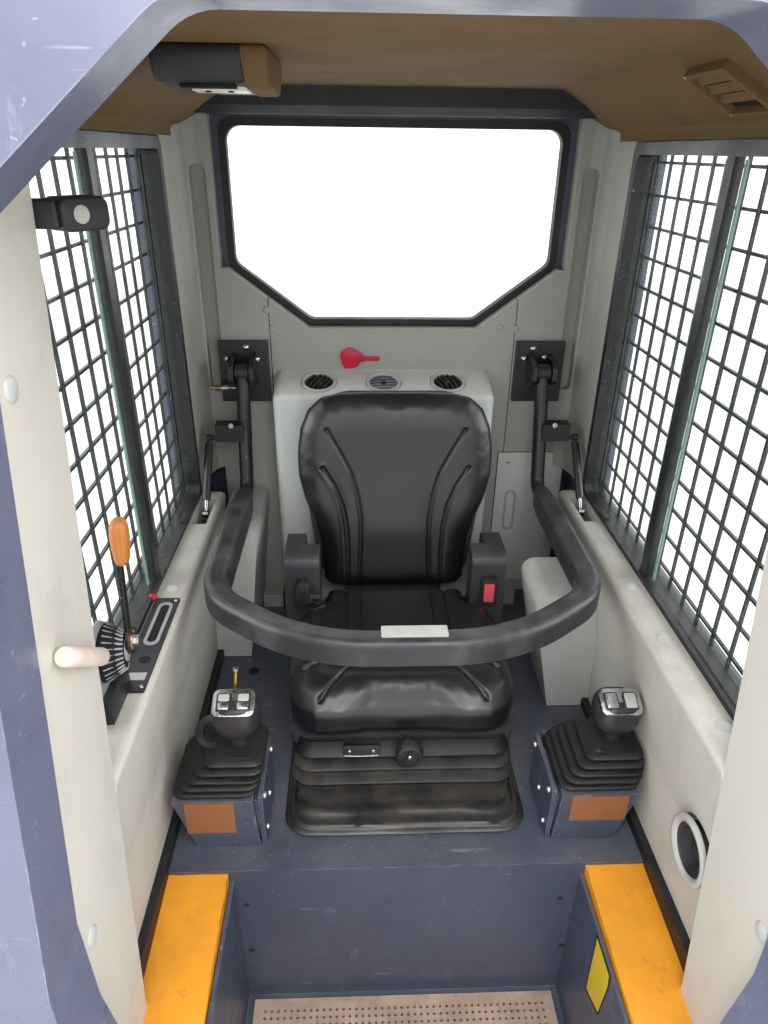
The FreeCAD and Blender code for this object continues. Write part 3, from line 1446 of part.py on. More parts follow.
def bar_arm(name, side):
    """Arm tube from the pivot boss down to the hoop, with the strut's lug."""
    across, along, up = size("arm_across") * side, pivot_along, size("pivot_height")
    rear, level = hoop_rear, size("hoop_height")
    tube, bend = size("arm_radius"), size("arm_bend")
    corner = rear + size("arm_level_run")
    run, rise = along - corner, up - level
    climb = math.atan2(rise.value, run.value)
    cut_back = bend * math.tan(climb / 2)
    slant = root_of_squares(run, rise)
    level_run = rod(f"arm_level_{name}", "Y", (across, rear, level), tube, size("arm_level_run") - cut_back)
    elbow = doc.addObject("Part::Torus", f"arm_elbow_{name}")
    bind(elbow, "Radius1", bend)
    bind(elbow, "Radius2", tube)
    elbow.Angle3 = math.degrees(climb)
    elbow.Placement = FreeCAD.Placement(V(), TURNS["X"])
    for prop, a in zip(("x", "y", "z"), (across, corner - cut_back, level + bend)):
        bind(elbow, f"Placement.Base.{prop}", a)
    rise_run = doc.addObject("Part::Cylinder", f"arm_rise_{name}")
    bind(rise_run, "Radius", tube)
    bind(rise_run, "Height", slant - cut_back)
    rise_run.Placement = FreeCAD.Placement(V(), FreeCAD.Rotation(V(1, 0, 0), -90 + math.degrees(climb)))
    for prop, a in zip(("x", "y", "z"), (
            across, corner + run / slant * cut_back, level + rise / slant * cut_back)):
        bind(rise_run, f"Placement.Base.{prop}", a)
    half = size("boss_width") / 2
    boss = rod(f"arm_boss_{name}", "X", (across - half, along, up), size("boss_radius"), half * 2)
    upper_along, upper_height = strut_upper
    low, high = span(side, size("arm_across"), size("lug_side"))
    lug_front, lug_low = upper_along - size("lug_pin") * 2, upper_height - size("lug_pin") * 2
    lug = box(f"arm_lug_{name}", (low, lug_front, lug_low),
              (high, lug_front + size("lug_deep"), lug_low + size("lug_high")))
    reach = size("strut_across") - size("strut_eye_width") / 2 - size("lug_gap")
    low, high = span(side, size("lug_side") - 1, reach)
    pin = rod(f"arm_pin_{name}", "X", (low, upper_along, upper_height), size("lug_pin"), high - low)
    bore = rod(f"arm_bore_{name}", "X", (across - tube - 3, along, up),
               size("pivot_pin") + size("pin_clearance"), tube * 2 + 6)
    whole = fuse(f"arm_tubes_{name}", [level_run, elbow, rise_run, boss, lug, pin])
    return cut(f"bar_arm_{name}", whole, bore)


def restraint_bar():
    """Both arms of the bar, and the moulded hoop that joins them."""
    keep_pair("restraint_arms", bar_arm)
    body = new_body("restraint_hoop_body")
    half, level = size("hoop_section") / 2, size("hoop_height")
    outer, inner = hoop_side(half), hoop_side(-half)
    left_outer = [(-corner[0],) + corner[1:] for corner in reversed(outer)]
    left_inner = [(-corner[0],) + corner[1:] for corner in inner]
    plan = outer + left_outer + left_inner + list(reversed(inner))
    pad(body, "XY", level - half, level + half, plan)

    def along_hoop(middle, run, edge):
        return abs(middle.z - level.value - half.value) < 0.1 and middle.y < hoop_rear.value - 0.1

    round_edges(body, size("hoop_round"), along_hoop)
    keep("restraint_hoop", body)


def hoop_side(grow):
    """Right half of the hoop's plan from the rear end, its centre line moved outwards."""
    across, front_x = size("arm_across"), size("hoop_front_across")
    corner, front = size("hoop_corner_along"), size("hoop_front")
    run, drop = across - front_x, corner - front
    slant = root_of_squares(run, drop)
    neck = grow * size("hoop_neck") / size("hoop_section")
    return [
        (across + neck, hoop_rear),
        (across + grow, hoop_rear - size("hoop_neck_run")),
        (across + grow, corner - grow * run / (slant + drop), size("hoop_bend") + grow),
        (front_x + grow * drop / (slant + run), front - grow, size("hoop_front_bend") + grow),
    ]


def strut_line():
    """Length of a strut between its pins and the turn that lays its own Z along it."""
    run, rise = strut_upper[0] - strut_lower[0], strut_upper[1] - strut_lower[1]
    turn = FreeCAD.Rotation(V(1, 0, 0), -math.degrees(math.atan2(run.value, rise.value)))
    return root_of_squares(run, rise), turn


def strut(name, side):
    """Gas strut: cylinder hung on the arm's block, rod down to its foot in the sill."""
    length, turn = strut_line()
    upper = V(size("strut_across").value * side, strut_upper[0].value, strut_upper[1].value)
    eye, wide = size("strut_eye"), size("strut_eye_width")
    reach = size("strut_length")
    tube = new_body(f"strut_cylinder_{name}_body")
    pad_sketch(tube, circle(tube, "XY", -reach, 0, 0, size("strut_radius")), reach - size("strut_neck"))
    pad_sketch(tube, circle(tube, "XY", -size("strut_neck") - 1, 0, 0, 5), size("strut_neck") + 1)
    pad_sketch(tube, circle(tube, "YZ", -wide / 2, 0, 0, eye), wide)
    bore_top = size("strut_bore_top")
    bore = circle(tube, "XY", -bore_top, 0, 0, size("strut_rod") + size("pin_clearance"))
    pocket_sketch(tube, bore, reach - bore_top)
    tube.Placement = FreeCAD.Placement(upper, turn)
    keep(f"strut_cylinder_{name}", tube)
    plunger = new_body(f"strut_rod_{name}_body")
    stem = length - bore_top - size("strut_rod_gap")
    pad_sketch(plunger, circle(plunger, "XY", -length, 0, 0, size("strut_rod")), stem)
    pad_sketch(plunger, circle(plunger, "YZ", -wide / 2, 0, -length, eye), wide)
    plunger.Placement = FreeCAD.Placement(upper, turn)
    keep(f"strut_rod_{name}", plunger)


def strut_foot(name, side):
    """Small angle in the sill's notch, its pin pointing at a strut's lower eye."""
    foot = new_body(f"strut_foot_{name}_body")
    across, half, long = size("strut_across"), size("notch_half_width"), size("foot_half_length")
    along, up = strut_lower
    floor, plate = size("sill_top") - size("notch_depth"), size("foot_plate")
    a, b = span(side, across - half, across - half + plate)
    pad(foot, "YZ", a, b, rectangle(along - long / 2, along + long / 2, floor, up + long / 2))
    a, b = span(side, across - half, across + half)
    pad(foot, "XY", floor, floor + plate, rectangle(a, b, along - long, along + long))
    a, b = span(side, across - half + plate - 1, across - size("strut_eye_width") / 2 - size("lug_gap"))
    pad_sketch(foot, circle(foot, "YZ", a, along, up, size("lug_pin")), b - a)
    return foot


def console_plate():
    """Switch plate on the left sill, with a long slot for a lever."""
    low, high = -size("window_frame_inset") + 4, -size("sill_edge") - size("sill_round") + 4
    body = new_body("console_plate_body")
    top, thick = size("sill_top"), size("console_thickness")
    rear = size("console_high")
    pad(body, "XY", top, top + thick, rectangle(low, high, size("console_low"), rear))
    border, length = size("console_border"), size("console_slot")
    slot = rectangle(low + border, high - border, rear - border - length, rear - border)
    pocket(body, "XY", top + thick / 2, top + thick + 1, slot)
    keep("console_plate", body)


def throttle():
    """Hand throttle: fluted drum on a bracket, and its lever with a knob."""
    along, up, radius = size("throttle_along"), size("throttle_height"), size("throttle_drum")
    inner = -size("throttle_inner")
    outer = inner - size("throttle_width")
    body = new_body("throttle_mount_body")
    pad_sketch(body, circle(body, "YZ", outer, along, up, radius), inner - outer)
    bracket = [
        (along - radius / 2, size("sill_top")),
        (along + radius / 2, size("sill_top")),
        (along + radius / 3, up),
        (along - radius / 3, up),
    ]
    pad(body, "YZ", outer + size("throttle_width") / 3, inner - size("throttle_width") / 3, bracket)
    barrel = circle(body, "XZ", along - radius * 0.86, (inner + outer) / 2, up, size("throttle_barrel"))
    pad_sketch(body, barrel, radius)
    keep("throttle_mount", body)
    lever = new_body("throttle_lever_body")
    hub = size("throttle_hub")
    pad_sketch(lever, circle(lever, "YZ", inner, along, up, hub), hub * 0.7)
    reach, tilt, half = size("throttle_reach"), size("throttle_tilt"), size("lever_half_width")
    pad(lever, "YZ", inner + 1, inner + half + 1, [
        (along - half, up),
        (along + half, up),
        (along + tilt + half, up + reach),
        (along + tilt - half, up + reach),
    ])
    knob, middle = size("lever_knob"), inner + size("lever_half_width") * 0.7
    # Sections of the knob: height from its middle, half width and half depth, as shares of its half width
    sections = []
    for rise, wide, deep in ((-2.2, 0.65, 0.7), (0, 1.0, 1.05), (2.0, 0.65, 0.7)):
        half_x, half_y = knob * wide, knob * deep
        y = along + tilt + rise * 1.5
        rim = rectangle(middle - half_x, middle + half_x, y - half_y, y + half_y)
        sections.append((up + reach + knob * rise, rim))
    loft(lever, "XY", sections)
    keep("throttle_lever", lever)


def speaker():
    """Loudspeaker in the right sill trim: a dished cone in a bezel."""
    body = new_body("speaker_body")
    face, along, up = size("speaker_face"), size("speaker_along"), size("speaker_height")
    radius, dish = size("speaker_radius"), size("speaker_dish")
    pad_sketch(body, circle(body, "YZ", face, along, up, radius), size("speaker_depth"))
    pocket_sketch(body, circle(body, "YZ", face + dish, along, up, radius - dish), dish + 1)
    keep("speaker", body)


def ceiling_parts(liner):
    """Lamp module on the left of the headliner and louvre on its right shoulder."""
    body = new_body("ceiling_lamp_body")
    low, front, rear = size("liner_low"), size("lamp_front"), size("lamp_rear")
    profile = [
        (front, low),
        (front, low - size("lamp_drop_front")),
        (rear, low - size("lamp_drop_rear")),
        (rear + size("lamp_drop_rear"), low),
    ]
    pad(body, "YZ", -size("lamp_outer"), -size("lamp_inner"), profile)
    keep("ceiling_lamp", cut("ceiling_lamp_cut", body, liner))
    louvre = new_body("ceiling_louvre_body")
    half, reach, thick = size("louvre_half_width"), size("louvre_half_length"), size("louvre_thickness")
    border = size("louvre_border")
    pad(louvre, "XY", 0, thick, rectangle(-half, half, -reach, reach))
    slot_pitch = (half - border) * 2 / 3
    for row in (-1, 0, 1):
        middle, slot_half = slot_pitch * row, slot_pitch * 0.32
        slot = rectangle(middle - slot_half, middle + slot_half, border - reach, reach - border)
        pocket(louvre, "XY", -1, thick / 2, slot)
    flat_x = size("liner_flat") + size("liner_crease")
    run = size("window_frame_inset") - flat_x
    rise = low - size("liner_side") - size("liner_lip")
    slant = root_of_squares(run, rise)
    share = size("louvre_share")
    base = (
        flat_x + run * share - rise / slant * thick,
        size("louvre_along"),
        low - rise * share - run / slant * thick,
    )
    louvre.Placement = FreeCAD.Placement(V(), FreeCAD.Rotation(V(0, 1, 0), 10))
    bind(louvre, "Placement.Rotation.Angle", Size(0, f"atan({rise.text} / {run.text})"))
    for prop, a in zip(("x", "y", "z"), base):
        bind(louvre, f"Placement.Base.{prop}", a)
    keep("ceiling_louvre", louvre)


def small_fittings():
    """Work lamp pod on the left pillar trim and the pull tag of the rear window."""
    up, radius = size("pod_lamp_height"), size("pod_lamp_stalk")
    rear = trim_edge(up + radius)
    trim_inner = size("portal_half_opening")
    middle = -trim_inner - radius * 1.8
    pod = new_body("pillar_lamp_body")
    reach = size("pod_lamp_reach")
    pad_sketch(pod, circle(pod, "XZ", rear + reach, middle, up, radius), reach)
    right = middle + size("pod_lamp_width")
    head = rectangle(middle, right, rear + reach - 2, rear + reach + size("pod_lamp_depth"), radius * 1.4)
    pad(pod, "XY", up - radius * 2.1, up + radius * 2.1, head)
    keep("pillar_lamp", pod)
    tag = new_body("escape_pull_body")
    left, right = -size("pull_left"), -size("pull_right")
    top = size("rear_glass_base") - size("pull_drop")
    thick, tall = size("pull_thickness"), size("pull_height")
    pad(tag, "XZ", rear_trim_face - thick, rear_trim_face, cut_rectangle(
        left, left + tall * 0.6, top - tall, top, tall * 0.16))
    pad(tag, "XZ", rear_trim_face - thick, rear_trim_face, rectangle(
        left + tall * 0.5, right, top - tall * 0.5, top - tall * 0.15))
    keep("escape_pull", tag)


front_frame()
rear_frame()
roof_panel()
floor_platform()
footwell_pan()
footwell_mat()
centre_trim()
vents_and_shelf()
liner = headliner()
rear_band(liner)
rear_window()
seat_cushion()
seat_backrest()
seat_shell()
seat_bellows()
seat_rails()
seat_knob()
belt_parts()
restraint_bar()
console_plate()
throttle()
speaker()
ceiling_parts(liner)
small_fittings()
for name, side in SIDES:
    strut(name, side)
    side_frame(name, side)
    sill_trim(name, side)
    pillar_trim(name, side)
    corner_trim(name, side, liner)
for label, build in (
        ("side_boxes", side_box),
        ("edge_rails", edge_rail),
        ("window_frames", window_frame),
        ("side_panes", side_panes),
        ("mesh_guards", mesh_guard),
        ("joystick_pods", joystick_pod),
        ("joystick_boots", joystick_boot),
        ("joystick_grips", joystick_grip),
        ("bar_brackets", bar_bracket),
        ("strut_feet", strut_foot)):
    keep_pair(label, build)
rear_box("left", -1, left_box_front, rear_trim_face)
rear_box("right", 1, right_box_front, right_box_front + size("right_box_depth"))

doc.recompute()
for thing in doc.Objects:
    if "Invalid" in thing.State or "Error" in thing.State:
        raise RuntimeError(f"{thing.Name} failed: {thing.State}")
for label, made in parts.items():
    if made.Shape.isNull() or not made.Shape.isValid():
        raise RuntimeError(f"{label} has no valid shape")
os.makedirs("parts", exist_ok=True)
for label, made in parts.items():
    made.Shape.exportStep(f"parts/{label}.step")
    print(f"{label}: {len(made.Shape.Solids)} solids, {made.Shape.Volume / 1e6:.2f} litres")
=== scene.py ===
"""Looks of a skid steer loader's operator cab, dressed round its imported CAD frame."""

import json
import logging
import math
from dataclasses import dataclass
from enum import Enum
from typing import Callable, Optional, Sequence

import bmesh
import bpy
import numpy as np
from mathutils import Matrix, Vector


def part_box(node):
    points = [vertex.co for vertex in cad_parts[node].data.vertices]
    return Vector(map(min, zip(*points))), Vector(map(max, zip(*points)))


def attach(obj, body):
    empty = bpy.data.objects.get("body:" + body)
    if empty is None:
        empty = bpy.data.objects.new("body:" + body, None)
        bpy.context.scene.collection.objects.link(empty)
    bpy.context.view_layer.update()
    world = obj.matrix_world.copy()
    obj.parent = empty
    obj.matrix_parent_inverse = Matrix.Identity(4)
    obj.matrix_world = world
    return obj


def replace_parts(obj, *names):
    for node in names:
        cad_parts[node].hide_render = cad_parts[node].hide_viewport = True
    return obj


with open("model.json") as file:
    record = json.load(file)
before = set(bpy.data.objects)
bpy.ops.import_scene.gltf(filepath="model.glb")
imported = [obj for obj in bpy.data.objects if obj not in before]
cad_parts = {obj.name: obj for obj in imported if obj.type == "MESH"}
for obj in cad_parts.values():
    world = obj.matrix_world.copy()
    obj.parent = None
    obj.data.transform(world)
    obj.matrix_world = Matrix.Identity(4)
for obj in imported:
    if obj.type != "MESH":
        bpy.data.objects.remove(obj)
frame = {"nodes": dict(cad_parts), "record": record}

log = logging.getLogger("operator_cab")
Point = tuple[float, float, float]
MM = 0.001


class Body(Enum):
    """CAD bodies that pieces ride on."""

    CAB = "cab"
    BAR = "restraint_bar"
    SEAT = "seat"
    CYLINDER_LEFT = "strut_cylinder_left"
    CYLINDER_RIGHT = "strut_cylinder_right"
    ROD_LEFT = "strut_rod_left"
    ROD_RIGHT = "strut_rod_right"


def linear(hex_code: str, alpha: float = 1.0) -> tuple[float, float, float, float]:
    """Turn an sRGB hex colour into linear values.

    Args:
        hex_code: six hex digits, with or without a leading hash.
        alpha: the fourth value.

    Returns:
        Red, green, blue and alpha, linear.
    """
    digits = hex_code.lstrip("#")
    parts = [int(digits[i:i + 2], 16) / 255 for i in (0, 2, 4)]
    made = [p / 12.92 if p <= 0.04045 else ((p + 0.055) / 1.055) ** 2.4 for p in parts]
    return made[0], made[1], made[2], alpha


def add(tree: bpy.types.NodeTree, kind: str, settings: Optional[dict] = None,
        links: Optional[dict] = None) -> bpy.types.Node:
    """Add a node with its settings and links.

    Args:
        tree: the tree that takes the node.
        kind: the node's type name.
        settings: node properties and socket values; "stops" fills a colour ramp.
        links: input socket name or index to the output socket that feeds it.

    Returns:
        The new node.
    """
    node = tree.nodes.new(kind)
    for name, value in (settings or {}).items():
        if name == "stops":
            ramp = node.color_ramp
            while len(ramp.elements) < len(value):
                ramp.elements.new(0.5)
            for element, (place, colour) in zip(ramp.elements, value):
                element.position = place
                element.color = colour
        elif isinstance(name, str) and hasattr(node, name):
            setattr(node, name, value)
        else:
            node.inputs[name].default_value = value
    for name, source in (links or {}).items():
        tree.links.new(source, node.inputs[name])
    return node


def grey(level: float) -> tuple[float, float, float, float]:
    """A linear grey of one level."""
    return level, level, level, 1.0


class Coat:
    """Base of the finishes: a principled material with patterns on Object coordinates."""

    def __init__(self, name: str) -> None:
        """Start an empty material with that name."""
        self.material = bpy.data.materials.new(name)
        self.material.use_nodes = True
        self.tree = self.material.node_tree
        self.tree.nodes.clear()
        self.place = add(self.tree, "ShaderNodeTexCoord").outputs["Object"]
        self.shader = add(self.tree, "ShaderNodeBsdfPrincipled")
        add(self.tree, "ShaderNodeOutputMaterial", links={"Surface": self.shader.outputs["BSDF"]})

    def node(self, kind: str, settings: Optional[dict] = None,
             links: Optional[dict] = None) -> bpy.types.Node:
        """Add a node to this finish."""
        return add(self.tree, kind, settings, links)

    def noise(self, size_mm: float, detail: float = 3.0, rough: float = 0.55,
              stretch: Point = (1, 1, 1), shift: float = 0.0) -> bpy.types.NodeSocket:
        """A noise pattern whose lumps are about size_mm across.

        Args:
            size_mm: size of the largest lumps in millimetres.
            detail: octaves of finer lumps.
            rough: weight of the finer lumps.
            stretch: scale along X, Y and Z; below 1 draws the lumps out.
            shift: moves the pattern, so that two of one size differ.

        Returns:
            The factor socket, 0 to 1.
        """
        mapped = self.node("ShaderNodeMapping", {"Scale": stretch, "Location": (shift, shift, shift)},
                           {"Vector": self.place})
        made = self.node("ShaderNodeTexNoise",
                         {"Scale": 1000.0 / size_mm / 2, "Detail": detail, "Roughness": rough},
                         {"Vector": mapped.outputs["Vector"]})
        return made.outputs["Fac"]

    def ramp(self, source: bpy.types.NodeSocket, low: float, high: float,
             start: float = 0.0, end: float = 1.0) -> bpy.types.NodeSocket:
        """Spread a factor: start at low and below, end at high and above."""
        made = self.node("ShaderNodeMapRange",
                         {"From Min": low, "From Max": high, "To Min": start, "To Max": end},
                         {"Value": source})
        return made.outputs["Result"]

    def mix(self, factor: bpy.types.NodeSocket, first, second) -> bpy.types.NodeSocket:
        """Mix two colours by a factor; each is a colour or a socket."""
        made = self.node("ShaderNodeMix", {"data_type": "RGBA"}, {0: factor})
        for index, value in ((6, first), (7, second)):
            if isinstance(value, bpy.types.NodeSocket):
                self.tree.links.new(value, made.inputs[index])
            else:
                made.inputs[index].default_value = value
        return made.outputs[2]

    def product(self, first: bpy.types.NodeSocket, second: bpy.types.NodeSocket) -> bpy.types.NodeSocket:
        """Multiply two factors."""
        return self.node("ShaderNodeMath", {"operation": "MULTIPLY"},
                         {0: first, 1: second}).outputs["Value"]

    def bump(self, height: bpy.types.NodeSocket, depth_mm: float, under=None) -> bpy.types.NodeSocket:
        """A bump of that depth, on top of another one where given."""
        links = {"Height": height}
        if under is not None:
            links["Normal"] = under
        made = self.node("ShaderNodeBump", {"Strength": 1.0, "Distance": depth_mm * MM}, links)
        return made.outputs["Normal"]

    def upward(self) -> bpy.types.NodeSocket:
        """1 on faces that look up, 0 on the rest."""
        normal = self.node("ShaderNodeNewGeometry").outputs["Normal"]
        split = self.node("ShaderNodeSeparateXYZ", links={"Vector": normal})
        return self.ramp(split.outputs["Z"], 0.55, 0.95)

    def edges(self, radius_mm: float) -> bpy.types.NodeSocket:
        """1 on sharp edges within that radius, 0 on flats."""
        soft = self.node("ShaderNodeBevel", {"samples": 4, "Radius": radius_mm * MM})
        sharp = self.node("ShaderNodeNewGeometry")
        dot = self.node("ShaderNodeVectorMath", {"operation": "DOT_PRODUCT"},
                        {0: soft.outputs["Normal"], 1: sharp.outputs["Normal"]})
        return self.ramp(dot.outputs["Value"], 0.985, 0.86)

    def feed(self, **links: bpy.types.NodeSocket) -> None:
        """Link sockets to the shader; underscores in names stand for spaces."""
        for name, source in links.items():
            self.tree.links.new(source, self.shader.inputs[name.replace("_", " ")])

    def put(self, **values) -> None:
        """Set constants on the shader; underscores in names stand for spaces."""
        for name, value in values.items():
            self.shader.inputs[name.replace("_", " ")].default_value = value


@dataclass(frozen=True)
class PowderedSteel:
    """Pressed steel with a coat of machine enamel: satin, slightly orange-peeled, scuffed."""

    name: str
    colour: str
    scuff: str
    dust: str = "#8d8577"
    rough: float = 0.38
    peel_mm: float = 0.06
    scuffs: float = 0.35
    dusty: float = 0.25
    specks: float = 0.35
    chips: str = ""
    chip_mm: float = 2.5

    def build(self) -> bpy.types.Material:
        """Make the material."""
        coat = Coat(self.name)
        drift = coat.ramp(coat.noise(260, 4), 0.3, 0.7, 0.0, 1.0)
        base = linear(self.colour)
        deep = tuple(v * 0.82 for v in base[:3]) + (1.0,)
        colour = coat.mix(drift, deep, base)
        streaks = coat.ramp(coat.noise(26, 6, 0.72, (1, 1, 0.35), 3.1), 0.60, 0.72, 0.0, self.scuffs)
        colour = coat.mix(streaks, colour, linear(self.scuff))
        wear = coat.product(coat.edges(self.chip_mm), coat.ramp(coat.noise(18, 4, 0.6, shift=1.7), 0.42, 0.62, 0.0, 0.8))
        colour = coat.mix(wear, colour, linear(self.chips or self.scuff))
        dirt = coat.ramp(coat.noise(150, 6, 0.75, shift=8.1), 0.48, 0.72, 0.0, 0.45)
        colour = coat.mix(dirt, colour, tuple(v * 0.45 for v in base[:3]) + (1.0,))
        scratch = coat.ramp(coat.noise(5, 2, 0.5, (0.09, 0.5, 1.2), 6.3), 0.70, 0.74, 0.0, self.specks)
        colour = coat.mix(scratch, colour, linear(self.scuff))
        speck = coat.ramp(coat.noise(3.2, 1, 0.5, shift=9.7), 0.735, 0.76, 0.0, self.specks)
        colour = coat.mix(speck, colour, linear("#a9a9ae"))
        dust = coat.product(coat.upward(), coat.ramp(coat.noise(70, 5, 0.65, shift=5.3), 0.35, 0.75, 0.0, self.dusty))
        colour = coat.mix(dust, colour, linear(self.dust))
        coat.feed(Base_Color=colour)
        rough = coat.ramp(coat.noise(40, 4, 0.6, shift=2.2), 0.3, 0.8, self.rough - 0.08, self.rough + 0.18)
        coat.feed(Roughness=rough)
        coat.feed(Normal=coat.bump(coat.noise(3.5, 2, 0.5), self.peel_mm))
        coat.put(Coat_Weight=0.12, Coat_Roughness=0.2)
        return coat.material


@dataclass(frozen=True)
class GrainedMoulding:
    """Injection moulded polypropylene with a fine leather grain and handling dirt."""

    name: str
    colour: str
    dirt: str
    rough: float = 0.55
    grain_mm: float = 2.2
    depth_mm: float = 0.12
    dirty: float = 0.3
    painted_front_light: str = ""
    shine: float = 0.4
    lacquer: float = 0.0
    pebbled: bool = False
    front_light_from: float = 0.45
    front_light_to: float = -0.30

    def build(self) -> bpy.types.Material:
        """Make the material; where painted_front_light is given, that colour comes in towards the open front as
        painted light.
        """
        coat = Coat(self.name)
        base = linear(self.colour)
        warm = tuple(v * 0.9 for v in base[:3]) + (1.0,)
        colour = coat.mix(coat.ramp(coat.noise(320, 3), 0.35, 0.7), base, warm)
        if self.painted_front_light:
            # Painted light: the colour turns paler towards the open front, where more light falls on the trims.
            along = coat.node("ShaderNodeSeparateXYZ", links={"Vector": coat.place}).outputs["Y"]
            front_light_share = coat.ramp(along, self.front_light_from, self.front_light_to)
            colour = coat.mix(front_light_share, colour, linear(self.painted_front_light))
        stain = coat.ramp(coat.noise(55, 6, 0.7, (1, 1, 0.6), 4.4), 0.52, 0.78, 0.0, self.dirty)
        colour = coat.mix(stain, colour, linear(self.dirt))
        settled = coat.product(coat.upward(), coat.ramp(coat.noise(30, 5, 0.7, shift=7.7), 0.4, 0.75, 0.0, self.dirty))
        colour = coat.mix(settled, colour, linear(self.dirt))
        coat.feed(Base_Color=colour)
        if self.pebbled:
            cells = coat.node("ShaderNodeTexVoronoi", {"feature": "F1", "Scale": 1000.0 / self.grain_mm},
                              {"Vector": coat.place})
            grain = cells.outputs["Distance"]
        else:
            grain = coat.noise(self.grain_mm, 0)
        coat.feed(Normal=coat.bump(grain, self.depth_mm))
        coat.feed(Roughness=coat.ramp(coat.noise(45, 3, shift=1.3), 0.3, 0.75, self.rough - 0.07, self.rough + 0.12))
        coat.put(Specular_IOR_Level=self.shine, Coat_Weight=self.lacquer, Coat_Roughness=0.34)
        return coat.material


@dataclass(frozen=True)
class Clear:
    """Tempered flat glass with a faint green body and a film of dust."""

    name: str
    colour: str
    alpha: float

    def build(self) -> bpy.types.Material:
        """Make the material."""
        coat = Coat(self.name)
        film = coat.ramp(coat.noise(90, 2, 0.7), 0.45, 0.8, self.alpha, self.alpha + 0.035)
        coat.put(Base_Color=linear(self.colour), Roughness=0.06, IOR=1.52)
        coat.feed(Alpha=film)
        return coat.material


@dataclass(frozen=True)
class BareMetal:
    """Turned, plated or polished steel."""

    name: str
    colour: str
    rough: float = 0.25

    def build(self) -> bpy.types.Material:
        """Make the material."""
        coat = Coat(self.name)
        base = linear(self.colour)
        dull = tuple(v * 0.7 for v in base[:3]) + (1.0,)
        coat.feed(Base_Color=coat.mix(coat.ramp(coat.noise(9, 4), 0.35, 0.75), base, dull))
        coat.feed(Roughness=coat.ramp(coat.noise(6, 3, shift=2.0), 0.3, 0.7, self.rough - 0.05, self.rough + 0.12))
        coat.put(Metallic=1.0)
        return coat.material


FINISHES: dict[str, object] = {
    "cab_paint": PowderedSteel("cab_enamel", "#464c5d", "#8e92a3", rough=0.36),
    "black_paint": PowderedSteel("black_enamel", "#121316", "#4a4a4c", rough=0.42, scuffs=0.2, dusty=0.12),
    "box_paint": PowderedSteel("amber_enamel", "#f3a124", "#8a6128", dust="#b08a4a", scuffs=0.5, rough=0.4, specks=0.0,
                               chips="#241d18", chip_mm=5.0, dusty=0.15),
    "rod_chrome": BareMetal("plated_rod", "#c9ccd0", 0.12),
    # The grey trim's paler colour towards the open front is painted light.
    "trim_grey": GrainedMoulding("grey_trim", "#a0a09a", "#79756a", painted_front_light="#c6c2b8"),
    "liner_tan": GrainedMoulding("tan_liner", "#6d583c", "#4a3d2c", grain_mm=3.0, depth_mm=0.2, rough=0.8, shine=0.12),
    "dark_moulding": GrainedMoulding("dark_moulding", "#26272a", "#56534d", rough=0.5),
    "grip_plastic": GrainedMoulding("grip_moulding", "#2a2b2e", "#5b5852", rough=0.34, depth_mm=0.05),
    "rubber_black": GrainedMoulding("black_rubber", "#131416", "#4c4842", rough=0.52, depth_mm=0.05, shine=0.5, dirty=0.2),
    "mat_rubber": GrainedMoulding("worn_mat", "#b79f8c", "#6d6157", rough=0.8, dirty=0.6),
    "seat_vinyl": GrainedMoulding("black_vinyl", "#131317", "#2f2e34", rough=0.38, grain_mm=1.6, depth_mm=0.04,
                                  shine=0.6, lacquer=0.3, dirty=0.12, pebbled=True),
    "window_glass": Clear("window_glass", "#8ea79c", 0.045),
}


Ring = list[Vector]


def basis(axis: Vector) -> tuple[Vector, Vector, Vector]:
    """Two directions across an axis, and the axis itself, right-handed.

    Args:
        axis: any direction with a length.

    Returns:
        Across, up across, and the unit axis.
    """
    ahead = axis.normalized()
    helper = Vector((0, 0, 1)) if abs(ahead.z) < 0.9 else Vector((0, 1, 0))
    first = helper.cross(ahead).normalized()
    return first, ahead.cross(first), ahead


def rounded(half_x: float, half_y: float, radius: float, steps: int = 5) -> list[tuple[float, float]]:
    """Corners of a rectangle with rounded corners, anticlockwise about its middle.

    Args:
        half_x: half its width.
        half_y: half its depth.
        radius: its corners' radius.
        steps: pieces of each corner's arc.

    Returns:
        Points in order.
    """
    radius = min(radius, half_x * 0.999, half_y * 0.999)
    made = []
    for turn, (sx, sy) in enumerate(((1, 1), (-1, 1), (-1, -1), (1, -1))):
        for step in range(steps + 1):
            angle = math.pi / 2 * (turn + step / steps)
            made.append((sx * (half_x - radius) + radius * math.cos(angle),
                         sy * (half_y - radius) + radius * math.sin(angle)))
    return made


